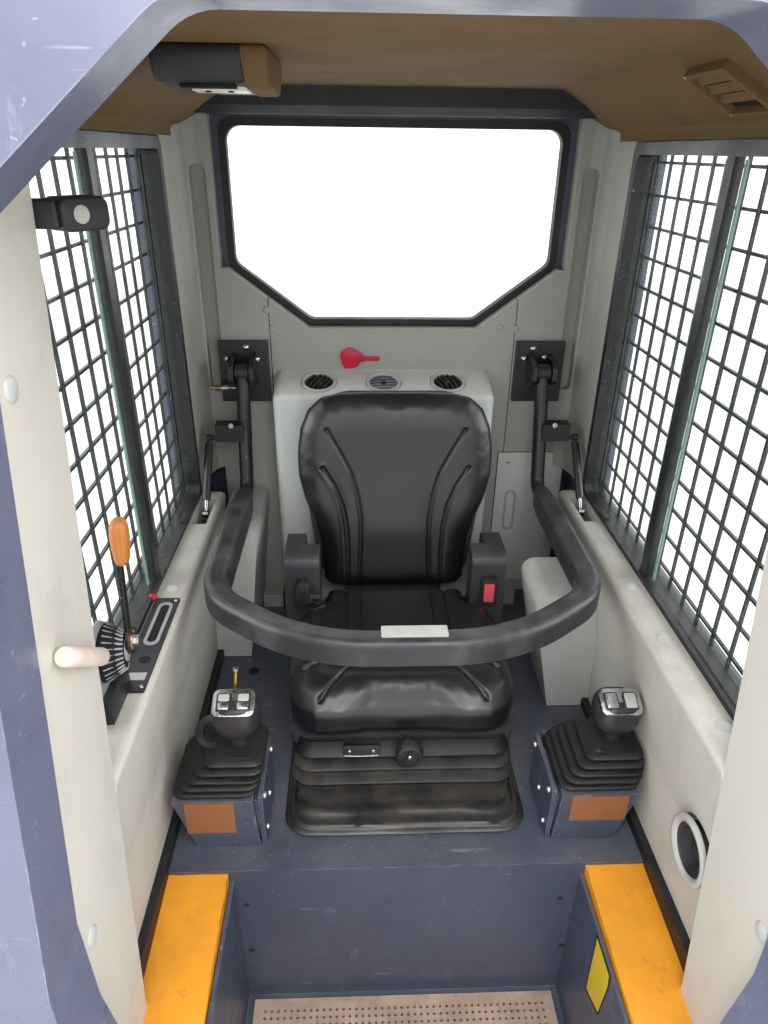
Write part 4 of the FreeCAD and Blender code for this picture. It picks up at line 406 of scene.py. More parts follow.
class Shape:
    """Points and faces of one piece while it is put together."""

    def __init__(self) -> None:
        """Start with nothing."""
        self.points: list[Vector] = []
        self.faces: list[tuple[int, ...]] = []
        self.marks: list[int] = []

    def rings(self, rings: Sequence[Sequence[Vector]], mark: int = 0, capped: bool = True) -> "Shape":
        """Skin closed loops of one count, in order, and cap both ends.

        Args:
            rings: the loops.
            mark: material index of the new faces.
            capped: closes the first and the last loop.

        Returns:
            This shape.
        """
        start, count = len(self.points), len(rings[0])
        for ring in rings:
            self.points += [Vector(point) for point in ring]
        made = []
        for level in range(len(rings) - 1):
            for step in range(count):
                a = start + level * count + step
                b = start + level * count + (step + 1) % count
                made.append((a, b, b + count, a + count))
        if capped:
            last = start + (len(rings) - 1) * count
            made.append(tuple(start + count - 1 - step for step in range(count)))
            made.append(tuple(last + step for step in range(count)))
        self.faces += made
        self.marks += [mark] * len(made)
        return self

    def lathe(self, profile: Sequence[tuple[float, float]], base: Sequence[float], axis: Sequence[float],
              steps: int = 24, mark: int = 0, capped: bool = True) -> "Shape":
        """Turn a profile of (radius, distance along the axis), in millimetres, about an axis."""
        first, second, ahead = basis(Vector(axis))
        loops = []
        for radius, along in profile:
            middle = Vector(base) + ahead * along * MM
            loops.append([middle + (first * math.cos(turn) + second * math.sin(turn)) * radius * MM
                          for turn in (2 * math.pi * step / steps for step in range(steps))])
        return self.rings(loops, mark, capped)

    def hollow(self, profile: Sequence[tuple[float, float]], base: Sequence[float], axis: Sequence[float],
               steps: int = 24, mark: int = 0) -> "Shape":
        """Turn a closed profile into a ring round an axis."""
        start = len(self.points)
        self.lathe(list(profile) + [profile[0]], base, axis, steps, mark, capped=False)
        count = len(profile)
        seam, first = start + count * steps, start
        for number in range(len(self.faces)):
            face = self.faces[number]
            self.faces[number] = tuple(first + i - seam if seam <= i < seam + steps else i for i in face)
        del self.points[seam:seam + steps]
        return self

    def slab(self, outline: Sequence[tuple[float, float]], place: Sequence[float], across: Sequence[float],
             along: Sequence[float], low: float, high: float, mark: int = 0) -> "Shape":
        """Raise a flat outline, in metres, into a plate.

        Args:
            outline: points across and along.
            place: the outline's origin.
            across: direction of its first number.
            along: direction of its second number.
            low: lower face along their cross product.
            high: upper face.
            mark: material index.

        Returns:
            This shape.
        """
        right, up = Vector(across).normalized(), Vector(along).normalized()
        out = right.cross(up)
        loops = [[Vector(place) + right * x + up * y + out * level for x, y in outline] for level in (low, high)]
        return self.rings(loops, mark)

    def block(self, low: Sequence[float], high: Sequence[float], mark: int = 0) -> "Shape":
        """Add a plain block between two corners."""
        outline = [(low[0], low[1]), (high[0], low[1]), (high[0], high[1]), (low[0], high[1])]
        return self.slab(outline, (0, 0, 0), (1, 0, 0), (0, 1, 0), low[2], high[2], mark)

    def rod(self, start: Sequence[float], end: Sequence[float], radius: float, steps: int = 10,
            mark: int = 0) -> "Shape":
        """Add a round bar of a radius in millimetres between two points."""
        run = Vector(end) - Vector(start)
        return self.lathe([(radius, 0), (radius, run.length / MM)], start, run, steps, mark)

    def sweep(self, path: Sequence[Vector], radius: float, steps: int = 8, mark: int = 0) -> "Shape":
        """Add a round bar of a radius in millimetres along a path."""
        loops = []
        for number, point in enumerate(path):
            before, after = path[max(number - 1, 0)], path[min(number + 1, len(path) - 1)]
            first, second, _ = basis(Vector(after) - Vector(before))
            loops.append([Vector(point) + (first * math.cos(turn) + second * math.sin(turn)) * radius * MM
                          for turn in (2 * math.pi * step / steps for step in range(steps))])
        return self.rings(loops, mark)


def put_in_scene(name: str, mesh: bpy.types.Mesh) -> bpy.types.Object:
    """Link a new object that shows a mesh."""
    made = bpy.data.objects.new(name, mesh)
    bpy.context.scene.collection.objects.link(made)
    return made


def plain_mesh(source: bpy.types.Object) -> bpy.types.Mesh:
    """Mesh of an object with its modifiers applied."""
    bpy.context.view_layer.update()
    shown = source.evaluated_get(bpy.context.evaluated_depsgraph_get())
    return bpy.data.meshes.new_from_object(shown)


def settle(made: bpy.types.Object, body: Body, slot: str) -> bpy.types.Object:
    """Hand a finished piece to its body, and report it."""
    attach(made, body.value)
    log.info("piece %s on %s, %d faces", made.name, body.value, len(made.data.polygons))
    return made


def make(name: str, shape: Shape, body: Body, slot: str, coats: Sequence[bpy.types.Material],
         edge_mm: float = 0.0, smooth_deg: float = 35.0) -> bpy.types.Object:
    """Turn a shape into a finished piece.

    Args:
        name: the piece's name.
        shape: its points and faces.
        body: what it moves with.
        slot: not used.
        coats: its materials, by face mark.
        edge_mm: width of a rounded edge; 0 leaves edges sharp.
        smooth_deg: edges flatter than this are shaded smooth.

    Returns:
        The piece.
    """
    mesh = bpy.data.meshes.new(name)
    mesh.from_pydata(shape.points, [], shape.faces)
    for coat in coats:
        mesh.materials.append(coat)
    mesh.polygons.foreach_set("material_index", shape.marks)
    work = bmesh.new()
    work.from_mesh(mesh)
    bmesh.ops.recalc_face_normals(work, faces=work.faces)
    work.to_mesh(mesh)
    work.free()
    mesh.polygons.foreach_set("use_smooth", [True] * len(mesh.polygons))
    if edge_mm:
        made = put_in_scene(name, mesh)
        bevel = made.modifiers.new("edge", "BEVEL")
        bevel.width, bevel.segments = edge_mm * MM, 2
        bevel.limit_method, bevel.angle_limit = "ANGLE", math.radians(38)
        made.data = plain_mesh(made)
        made.modifiers.clear()
        mesh = made.data
        mesh.name = name
    else:
        made = put_in_scene(name, mesh)
    mesh.set_sharp_from_angle(angle=math.radians(smooth_deg))
    return settle(made, body, slot)


class Spread(Enum):
    """What a Geometry Nodes tree sets on marked points."""

    BOLT = "bolt"
    PLUG = "plug"


class Fasteners:
    """Bolts and round plugs, set on marked points by Geometry Nodes."""

    def __init__(self) -> None:
        """Build both trees."""
        self.inputs: dict[tuple[Spread, str], str] = {}
        self.trees = {kind: self.tree(kind) for kind in Spread}

    def tree(self, kind: Spread) -> bpy.types.NodeTree:
        """Build the tree that sets one kind of fastener on each point.

        Args:
            kind: bolt with washer, or domed plug.

        Returns:
            The tree, with named inputs.
        """
        tree = bpy.data.node_groups.new(f"set_{kind.value}", "GeometryNodeTree")
        face = tree.interface
        face.new_socket("Points", in_out="INPUT", socket_type="NodeSocketGeometry")
        for label, value in (("Radius", 0.006), ("Height", 0.004), ("Washer", 1.4)):
            socket = face.new_socket(label, in_out="INPUT", socket_type="NodeSocketFloat")
            socket.default_value = value
            self.inputs[kind, label] = socket.identifier
        socket = face.new_socket("Finish", in_out="INPUT", socket_type="NodeSocketMaterial")
        self.inputs[kind, "Finish"] = socket.identifier
        face.new_socket("Mesh", in_out="OUTPUT", socket_type="NodeSocketGeometry")
        given = add(tree, "NodeGroupInput").outputs
        times = lambda a, b: add(tree, "ShaderNodeMath", {"operation": "MULTIPLY", 1: b}, {0: a}).outputs[0]
        if kind is Spread.BOLT:
            head = add(tree, "GeometryNodeMeshCylinder", {"Vertices": 6},
                       {"Radius": given["Radius"], "Depth": given["Height"]})
            lift = add(tree, "ShaderNodeCombineXYZ", links={"Z": times(given["Height"], 0.8)})
            head = add(tree, "GeometryNodeTransform", links={"Geometry": head.outputs["Mesh"],
                                                             "Translation": lift.outputs["Vector"]})
            wide = add(tree, "ShaderNodeMath", {"operation": "MULTIPLY"},
                       {0: given["Radius"], 1: given["Washer"]}).outputs[0]
            plate = add(tree, "GeometryNodeMeshCylinder", {"Vertices": 16},
                        {"Radius": wide, "Depth": times(given["Height"], 0.6)})
            item = add(tree, "GeometryNodeJoinGeometry")
            tree.links.new(head.outputs["Geometry"], item.inputs[0])
            tree.links.new(plate.outputs["Mesh"], item.inputs[0])
            item = item.outputs["Geometry"]
        else:
            dome = add(tree, "GeometryNodeMeshUVSphere", {"Segments": 20, "Rings": 8}, {"Radius": given["Radius"]})
            low = add(tree, "ShaderNodeMath", {"operation": "DIVIDE"}, {0: given["Height"], 1: given["Radius"]})
            flat = add(tree, "ShaderNodeCombineXYZ", {"X": 1.0, "Y": 1.0}, {"Z": low.outputs[0]})
            item = add(tree, "GeometryNodeTransform", links={"Geometry": dome.outputs["Mesh"],
                                                             "Scale": flat.outputs["Vector"]}).outputs["Geometry"]
        facing = add(tree, "GeometryNodeInputNamedAttribute", {"data_type": "FLOAT_VECTOR", "Name": "facing"})
        turned = add(tree, "FunctionNodeAlignRotationToVector", {"axis": "Z"},
                     {"Vector": facing.outputs["Attribute"]})
        spread = add(tree, "GeometryNodeInstanceOnPoints",
                     links={"Points": given["Points"], "Instance": item, "Rotation": turned.outputs["Rotation"]})
        real = add(tree, "GeometryNodeRealizeInstances", links={"Geometry": spread.outputs["Instances"]})
        smooth = add(tree, "GeometryNodeSetShadeSmooth", {"Shade Smooth": kind is Spread.PLUG},
                     {"Geometry": real.outputs["Geometry"]})
        dressed = add(tree, "GeometryNodeSetMaterial",
                      links={"Geometry": smooth.outputs["Geometry"], "Material": given["Finish"]})
        add(tree, "NodeGroupOutput", links={0: dressed.outputs["Geometry"]})
        return tree

    def place(self, name: str, kind: Spread, spots: Sequence[tuple[Point, Point]], body: Body, slot: str,
              coat: bpy.types.Material, radius: float, height: float, washer: float = 1.4) -> bpy.types.Object:
        """Set a row of fasteners.

        Args:
            name: the piece's name.
            kind: which fastener.
            spots: places and the directions that they face.
            body: what they ride on.
            slot: not used.
            coat: their material.
            radius: head radius in millimetres.
            height: head height in millimetres.
            washer: washer radius over head radius.

        Returns:
            The piece.
        """
        mesh = bpy.data.meshes.new(name)
        mesh.from_pydata([spot for spot, _ in spots], [], [])
        facing = mesh.attributes.new("facing", "FLOAT_VECTOR", "POINT")
        facing.data.foreach_set("vector", [value for _, way in spots for value in Vector(way).normalized()])
        made = put_in_scene(name, mesh)
        tree = made.modifiers.new("set", "NODES")
        tree.node_group = self.trees[kind]
        for label, value in (("Radius", radius * MM), ("Height", height * MM), ("Washer", washer), ("Finish", coat)):
            tree[self.inputs[kind, label]] = value
        made.data = plain_mesh(made)
        made.modifiers.clear()
        made.data.name = name
        return settle(made, body, slot)


def smooth_step(low: float, high: float, value: np.ndarray) -> np.ndarray:
    """0 below low, 1 above high, and a soft ramp between."""
    share = np.clip((value - low) / (high - low), 0, 1)
    return share * share * (3 - 2 * share)


def loop_inset(loop: Sequence[tuple[float, float]], distance: float) -> list[tuple[float, float]]:
    """Move an anticlockwise loop inwards by a distance."""
    made = []
    for number, point in enumerate(loop):
        before, after = Vector(loop[number - 1]), Vector(loop[(number + 1) % len(loop)])
        run = (after - before).normalized()
        made.append((point[0] - run.y * distance, point[1] + run.x * distance))
    return made


def line_distance(points: np.ndarray, line: Sequence[tuple[float, float]]) -> tuple[np.ndarray, np.ndarray]:
    """Distance of plane points from a chain of straight runs, and from its first point.

    Args:
        points: an array of two columns.
        line: the chain's corners.

    Returns:
        Both distances.
    """
    nearest = np.full(len(points), 9.0)
    for start, end in zip(line, line[1:]):
        run = np.array(end) - np.array(start)
        share = np.clip(((points - start) @ run) / (run @ run), 0, 1)
        nearest = np.minimum(nearest, np.linalg.norm(points - start - share[:, None] * run, axis=1))
    return nearest, np.linalg.norm(points - np.array(line[0]), axis=1)


@dataclass(frozen=True)
class Foam:
    """How a foam pad under vinyl is swelled by air pressure, then dressed with sewn channels."""

    voxel_mm: float = 5.5
    pressure: float = 4.0
    frames: int = 20
    most_mm: float = 6.0
    groove_mm: float = 5.5
    groove_width_mm: float = 4.2

    def swell(self, name: str, shape: Shape, sculpt: Callable[[np.ndarray], np.ndarray]) -> bpy.types.Object:
        """Remesh a plain closed form, sculpt it, blow it up by cloth simulation and subdivide it.

        Args:
            name: the pad's name.
            shape: its plain form, a little smaller than the pad.
            sculpt: takes an array of points and returns the moved points.

        Returns:
            The pad's object, not yet handed to a body.
        """
        mesh = bpy.data.meshes.new(name)
        mesh.from_pydata(shape.points, [], shape.faces)
        work = bmesh.new()
        work.from_mesh(mesh)
        bmesh.ops.recalc_face_normals(work, faces=work.faces)
        work.to_mesh(mesh)
        work.free()
        made = put_in_scene(name, mesh)
        remesh = made.modifiers.new("skin", "REMESH")
        remesh.mode, remesh.voxel_size = "VOXEL", self.voxel_mm * MM
        made.data = plain_mesh(made)
        made.modifiers.clear()
        self.move(made, sculpt)
        self.blow(made)
        soften = made.modifiers.new("soften", "SMOOTH")
        soften.factor, soften.iterations = 0.5, 4
        finer = made.modifiers.new("finer", "SUBSURF")
        finer.levels = finer.render_levels = 1
        made.data = plain_mesh(made)
        made.modifiers.clear()
        return made

    def fit(self, made: bpy.types.Object, origin: Vector, axes: Sequence[Vector],
            spans: Sequence[tuple[float, float]]) -> None:
        """Stretch a pad so that it fills wanted spans.

        Args:
            made: the pad.
            origin: where the spans are measured from.
            axes: the directions of the spans.
            spans: lowest and highest place along each direction.
        """
        points = self.read(made, "co")
        offset = points - np.array(origin)
        for axis, (low, high) in zip(axes, spans):
            along = offset @ np.array(axis)
            now_low, now_high = along.min(), along.max()
            wanted = low + (along - now_low) / (now_high - now_low) * (high - low)
            points = points + (wanted - along)[:, None] * np.array(axis)
        self.move(made, lambda _: points)

    @staticmethod
    def read(made: bpy.types.Object, what: str) -> np.ndarray:
        """Points ("co") or point normals ("normal") of a mesh as rows."""
        values = np.zeros(len(made.data.vertices) * 3)
        made.data.vertices.foreach_get(what, values)
        return values.reshape(-1, 3)

    def move(self, made: bpy.types.Object, change: Callable[[np.ndarray], np.ndarray]) -> None:
        """Replace a mesh's points by changed ones."""
        made.data.vertices.foreach_set("co", change(self.read(made, "co")).ravel())
        made.data.update()

    def blow(self, made: bpy.types.Object) -> None:
        """Run the cloth simulation and keep no point further than most_mm from its place."""
        rest = self.read(made, "co")
        cloth = made.modifiers.new("vinyl", "CLOTH")
        cloth.settings.quality = 4
        cloth.settings.use_pressure = True
        cloth.settings.uniform_pressure_force = self.pressure
        cloth.settings.effector_weights.gravity = 0
        cloth.point_cache.frame_start, cloth.point_cache.frame_end = 1, self.frames
        for number in range(1, self.frames + 1):
            bpy.context.scene.frame_set(number)
        blown = plain_mesh(made)
        made.modifiers.clear()
        bpy.context.scene.frame_set(1)
        moved = np.zeros(len(blown.vertices) * 3)
        blown.vertices.foreach_get("co", moved)
        shift = moved.reshape(-1, 3) - rest
        length = np.maximum(np.linalg.norm(shift, axis=1, keepdims=True), 1e-9)
        limit = self.most_mm * MM
        self.move(made, lambda points: rest + shift * np.minimum(1.0, limit / length))

    def groove(self, flat: np.ndarray, lines: Sequence[Sequence[tuple[float, float]]]) -> np.ndarray:
        """Depth that sewn channels press into a pad, in metres.

        Args:
            flat: the pad's points in the plane of its lines.
            lines: right-hand channels; each has a mirror image on the left.

        Returns:
            How far each point goes in.
        """
        depth = np.zeros(len(flat))
        width = self.groove_width_mm * MM
        for line in lines:
            for side in (1, -1):
                chain = [(x * side, y) for x, y in line]
                near, end = line_distance(flat, chain)
                valley = np.exp(-(near / width) ** 2) - 0.35 * np.exp(-((near - 2.1 * width) / width) ** 2)
                dimple = 0.7 * np.exp(-(end / (width * 1.9)) ** 2)
                depth = np.maximum(depth, self.groove_mm * MM * (valley + dimple)) + np.minimum(
                    0, self.groove_mm * MM * valley)
        return depth


@dataclass
class Seat:
    """Suspension seat: cushion, backrest, skirt, bellows, knob and belt parts."""

    vinyl: bpy.types.Material
    rubber: bpy.types.Material
    moulding: bpy.types.Material
    steel: bpy.types.Material
    red: bpy.types.Material
    dust: bpy.types.Material
    foam: Foam = Foam()
    # Right half of the cushion seen from above: across, along
    cushion_half: tuple[tuple[float, float], ...] = (
        (0.060, -0.080), (0.120, -0.087), (0.165, -0.084), (0.196, -0.070), (0.213, -0.045), (0.218, 0.000),
        (0.218, 0.080), (0.216, 0.150), (0.206, 0.185), (0.180, 0.208), (0.163, 0.225), (0.158, 0.250),
        (0.155, 0.275), (0.140, 0.285), (0.070, 0.286))
    # Levels of the cushion: height, inset in millimetres
    cushion_levels: tuple[tuple[float, float], ...] = (
        (0.519, 16), (0.522, 7), (0.532, 1), (0.556, 0), (0.586, 1), (0.604, 6), (0.615, 15), (0.621, 30))
    # Right half of the backrest on its face: across, up from its foot
    back_half: tuple[tuple[float, float], ...] = (
        (0.100, 0.006), (0.145, 0.008), (0.160, 0.025), (0.164, 0.075), (0.169, 0.122), (0.181, 0.170),
        (0.201, 0.225), (0.212, 0.280), (0.212, 0.335), (0.204, 0.385), (0.187, 0.424), (0.160, 0.449),
        (0.120, 0.459), (0.060, 0.462))
    # Levels of the backrest: distance behind its face, inset in millimetres
    back_levels: tuple[tuple[float, float], ...] = (
        (0.008, 34), (0.011, 17), (0.019, 5), (0.034, 0), (0.052, 2), (0.062, 9), (0.066, 24))
    back_foot: Point = (0, 0.302, 0.600)
    back_tilt_deg: float = 6.0
    # Sewn channels, upper or front end first
    back_channels: tuple = (
        ((0.153, 0.388), (0.127, 0.342), (0.101, 0.288), (0.087, 0.237), (0.080, 0.183), (0.0795, 0.126),
         (0.0815, 0.067), (0.082, -0.02)),
        ((0.163, 0.301), (0.138, 0.259), (0.120, 0.208), (0.112, 0.155), (0.1095, 0.100), (0.110, -0.02)))
    cushion_channels: tuple = (
        ((0.158, -0.079), (0.128, -0.045), (0.102, -0.005), (0.088, 0.050), (0.083, 0.120), (0.083, 0.300)),
        ((0.190, -0.020), (0.152, 0.008), (0.126, 0.055), (0.115, 0.110), (0.113, 0.190), (0.116, 0.300)))

    @staticmethod
    def both_halves(half: Sequence[tuple[float, float]]) -> list[tuple[float, float]]:
        """Close a right half, bottom first, with its mirror image."""
        return list(half) + [(-x, y) for x, y in reversed(half)]

    def cushion(self) -> None:
        """Crowned cushion with a rolled front and channels that fan out to its corners."""
        outline = self.both_halves(self.cushion_half)
        levels = [[Vector((x, y, up)) for x, y in loop_inset(outline, inset * MM)]
                  for up, inset in self.cushion_levels]

        def sculpt(points: np.ndarray) -> np.ndarray:
            x, y, z = points.T
            upper = smooth_step(0.575, 0.615, z)
            dish = 0.009 * (1 - smooth_step(0.10, 0.19, np.abs(x))) * smooth_step(-0.05, 0.03, y)
            roll = 0.022 * np.clip((0.01 - y) / 0.10, 0, 1) ** 2
            crown = 0.006 * np.exp(-(x / 0.10) ** 2) * smooth_step(0.02, -0.06, y)
            bulge = 0.006 * smooth_step(0.035, 0.0, np.abs(z - 0.575)) * smooth_step(-0.05, -0.08, y)
            dent = 0.012 * np.exp(-(x / 0.075) ** 2) * smooth_step(-0.04, -0.09, y) * smooth_step(0.55, 0.60, z)
            return np.stack([x, y - bulge + dent, z + upper * (crown - dish - roll)], axis=1)

        made = self.foam.swell("cushion_pad", Shape().rings(levels), sculpt)
        self.foam.fit(made, Vector(), (Vector((1, 0, 0)), Vector((0, 1, 0)), Vector((0, 0, 1))),
                      ((-0.2275, 0.2275), (-0.1, 0.294), (0.5125, 0.6335)))
        normals = self.foam.read(made, "normal")

        def sew(points: np.ndarray) -> np.ndarray:
            top = smooth_step(0.45, 0.8, normals[:, 2])
            depth = self.foam.groove(points[:, :2], self.cushion_channels) * top
            seam = 0.0018 * np.exp(-((points[:, 2] - 0.532) / 0.0035) ** 2) * (1 - np.abs(normals[:, 2]))
            return points - normals * (depth + seam)[:, None]

        self.foam.move(made, sew)
        self.dress_pad(made, "seat_cushion")

    def backrest(self) -> None:
        """Waisted backrest with four sewn channels, its face dished between the sides."""
        tilt = math.radians(self.back_tilt_deg)
        foot, up, behind = (Vector(self.back_foot), Vector((0, math.sin(tilt), math.cos(tilt))),
                            Vector((0, math.cos(tilt), -math.sin(tilt))))
        outline = self.both_halves(self.back_half)
        levels = [[foot + Vector((x, 0, 0)) + up * s + behind * deep for x, s in loop_inset(outline, inset * MM)]
                  for deep, inset in self.back_levels]

        def local(points: np.ndarray) -> tuple[np.ndarray, np.ndarray, np.ndarray]:
            offset = points - np.array(foot)
            return offset[:, 0], offset @ np.array(up), offset @ np.array(behind)

        def sculpt(points: np.ndarray) -> np.ndarray:
            x, s, deep = local(points)
            face = smooth_step(0.045, 0.015, deep)
            dish = 0.010 * (1 - smooth_step(0.07, 0.16, np.abs(x))) * smooth_step(0.42, 0.30, s)
            lumbar = 0.008 * np.exp(-((s - 0.17) / 0.08) ** 2) * (1 - smooth_step(0.05, 0.12, np.abs(x)))
            tuck = 0.020 * smooth_step(0.105, 0.165, np.abs(x)) * smooth_step(0.24, 0.08, s)
            head = 0.012 * smooth_step(0.38, 0.47, s)
            shift = face * (dish - lumbar + tuck + head)
            return points + shift[:, None] * np.array(behind)

        made = self.foam.swell("backrest_pad", Shape().rings(levels), sculpt)
        self.foam.fit(made, foot, (Vector((1, 0, 0)), up, behind), ((-0.2195, 0.2195), (-0.004, 0.4655),
                                                                   (0.0, 0.069)))
        normals = self.foam.read(made, "normal")

        def sew(points: np.ndarray) -> np.ndarray:
            x, s, deep = local(points)
            face = smooth_step(0.35, 0.75, -(normals @ np.array(behind)))
            depth = self.foam.groove(np.stack([x, s], axis=1), self.back_channels) * face
            seam = 0.0018 * np.exp(-((deep - 0.040) / 0.0035) ** 2) * (1 - face)
            return points - normals * (depth + seam)[:, None]

        self.foam.move(made, sew)
        self.dress_pad(made, "seat_backrest")

    def dress_pad(self, made: bpy.types.Object, node: str) -> None:
        """Give a pad its vinyl and hand it over."""
        made.data.materials.clear()
        made.data.materials.append(self.vinyl)
        made.data.polygons.foreach_set("use_smooth", [True] * len(made.data.polygons))
        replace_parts(made, node)
        settle(made, Body.SEAT, "seat_vinyl")

    def loop(self, front: float, half: float, rear: float, radius: float, level: float,
             wave_mm: float = 0.0, lift_mm: float = 0.0) -> Ring:
        """One fold's loop: straight rear and sides, round corners and a front edge that may wander.

        Args:
            front: its front edge along Y.
            half: half its width.
            rear: its rear edge along Y.
            radius: its corners' radius.
            level: its height.
            wave_mm: how far the front edge wanders to and fro.
            lift_mm: how far the ends of the front edge droop.

        Returns:
            Points in order.
        """
        steps, across = 7, 30
        made = []
        for turn, (sx, sy) in enumerate(((1, 1), (-1, 1), (-1, -1), (1, -1))):
            middle = Vector((sx * (half - radius), (rear if sy > 0 else front) - sy * radius, level))
            for step in range(steps):
                angle = math.pi / 2 * (turn + step / (steps - 1))
                made.append(middle + Vector((math.cos(angle), math.sin(angle), 0)) * radius)
            if turn == 2:
                for step in range(1, across):
                    made.append(Vector(((half - radius) * (2 * step / across - 1), front, level)))
        for point in made:
            share = smooth_step(rear, front + radius, np.array(point.y))
            phase = point.x * 21 + level * 190
            point.y += wave_mm * MM * float(share) * (math.sin(phase) + 0.5 * math.sin(phase * 2.3 + 1))
            point.z += float(share) * MM * (0.35 * wave_mm * math.sin(phase * 1.4 + 2)
                                            - lift_mm * (abs(point.x) / half) ** 2)
        return made

    def bellows(self) -> None:
        """Rubber bellows: sagging foot, two round lips with a deep fold between."""
        # Height above the platform, front edge, half width (mm), corner radius, wandering and droop (mm)
        folds = (
            (0, -228, 218, 46, 0, 0), (1, -233, 223, 48, 0, 0), (5, -235, 224, 48, 0.5, 0),
            (8, -232, 222, 47, 0.6, 0), (8, -227, 218, 46, 0.8, 0), (10, -224, 216, 46, 1.2, 0),
            (13, -222, 214, 45, 1.5, 0), (14, -216, 211, 44, 2, 0), (12, -207, 208, 43, 2.6, 0),
            (16, -197, 206, 42, 3, 0), (19, -190, 205, 41, 3, 0), (16, -179, 204, 40, 3, 0),
            (15, -168, 205, 40, 2.4, 0), (18, -157, 208, 40, 1.5, 0), (16, -146, 205, 38, 0.6, 0),
            (20, -128, 203, 36, 0, 0), (23, -133, 212, 38, 0, 1), (25, -139, 217, 40, 0, 1.5),
            (28, -140, 218, 40, 0, 1.5), (30, -136, 215, 39, 0, 1.5), (32, -124, 207, 37, 0, 1.5),
            (36, -114, 203, 35, 0, 1.5), (40, -116, 206, 36, 0, 2), (43, -121, 213, 38, 0, 2.5),
            (46, -123, 216, 39, 0, 2.5), (49, -117, 214, 38, 0, 2), (52, -98, 209, 37, 0, 1),
            (54, -70, 206, 36, 0, 0), (57, -64, 205, 36, 0, 0))
        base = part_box("floor_platform")[1].z
        rings = [self.loop(front * MM, half * MM, 0.250, radius * MM, base + up * MM, wave, droop)
                 for up, front, half, radius, wave, droop in folds]
        made = make("suspension_bellows", Shape().rings(rings), Body.CAB, "rubber_black", [self.dust], smooth_deg=60)
        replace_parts(made, "seat_bellows")

    def skirt(self) -> None:
        """Upper skirt of the suspension, hung from the moulded pan, open behind."""
        # Height, front edge and half width in millimetres
        levels = ((479.5, -103, 211), (482, -106, 214), (485, -104, 213), (492, -97, 211), (503, -94, 210),
                  (511, -93, 209))
        shape = Shape()
        rear, wall = 0.215, 4.0
        rings = []
        for inner in (0, 1):
            for up, front, half in (levels if not inner else tuple(reversed(levels))):
                ring = []
                reach, radius = (half - wall * inner) * MM, (36 - wall * inner) * MM
                ahead = (front + wall * inner) * MM
                ring.append(Vector((reach, rear, up * MM)))
                for turn in (3, 2):
                    sx = 1 if turn == 3 else -1
                    for step in range(9):
                        angle = -math.pi / 2 * step / 8 if turn == 3 else -math.pi / 2 * (1 + step / 8)
                        ring.append(Vector((sx * (reach - radius) + radius * math.cos(angle),
                                            ahead + radius + radius * math.sin(angle), up * MM)))
                ring.append(Vector((-reach, rear, up * MM)))
                rings.append(ring)
        count, levels_made = len(rings[0]), len(rings)
        for ring in rings:
            shape.points += ring
        for level in range(levels_made):
            for step in range(count - 1):
                a, b = level * count + step, ((level + 1) % levels_made) * count + step
                shape.faces.append((a, a + 1, b + 1, b))
        shape.faces.append(tuple(level * count for level in range(levels_made)))
        shape.faces.append(tuple(level * count + count - 1 for level in reversed(range(levels_made))))
        shape.marks = [0] * len(shape.faces)
        make("suspension_skirt", shape, Body.SEAT, "rubber_black", [self.rubber], smooth_deg=60)

    def knob(self) -> None:
        """Ribbed weight knob with a bolt in its face, and the indicator beside it."""
        low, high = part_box("seat_knob")
        middle = Vector(((low.x + high.x) / 2, high.y, (low.z + high.z) / 2))
        deep = (high.y - low.y) / MM
        shape = Shape()
        shape.lathe([(8.5, 0), (8.5, deep - 26), (20, deep - 26), (24.5, deep - 23), (25.8, deep - 18),
                     (25.8, deep - 8), (24, deep - 3), (20, deep - 0.8), (17.5, deep - 0.8), (17, deep - 4),
                     (12, deep - 4.5), (4, deep - 4.5)], middle, (0, -1, 0), 40)
        for step in range(20):
            turn = 2 * math.pi * step / 20
            spot = middle + Vector((math.cos(turn) * 25.4, 0, math.sin(turn) * 25.4)) * MM
            shape.rod(spot + Vector((0, -(deep - 21) * MM, 0)), spot + Vector((0, -(deep - 7) * MM, 0)), 1.5, 6)
        lean = Vector((0.5, 0, 0.87))
        across = Vector((0.87, 0, -0.5))
        shape.slab(rounded(0.0045, 0.0165, 0.004), middle + Vector((0, -(deep - 5) * MM, 0)), across, -lean,
                   -0.0035, 0.0035)
        made = make("weight_knob", shape, Body.SEAT, "dark_moulding", [self.moulding], 0, 30)
        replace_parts(made, "seat_knob")
        bolt = Shape().lathe([(4.2, 0), (4.2, 3.4), (3.4, 4.2)], middle + Vector((0, -(deep - 3) * MM, 0)),
                             (0, -1, 0), 6)
        make("weight_knob_bolt", bolt, Body.SEAT, "rod_chrome", [self.steel])
        window = Shape()
        face = -0.1015
        window.slab(rounded(0.036, 0.0125, 0.004), (-0.081, face, 0.4965), (1, 0, 0), (0, 0, 1), 0, 0.003)
        make("weight_window", window, Body.SEAT, "dark_moulding", [self.moulding], 0.8)
        lip = Shape()
        path = [Vector((-0.081 + x * MM, face - 0.004, (0.4845 + 0.000004 * (x * x) * 0.4)))
                for x in range(-33, 34, 6)]
        lip.sweep(path, 1.3)
        for x in (-0.104, -0.058):
            lip.lathe([(3.6, 0), (3.6, 2), (2.2, 3.4)], (x, face - 0.003, 0.497), (0, -1, 0), 10)
        make("weight_window_lip", lip, Body.SEAT, "rod_chrome", [self.steel])

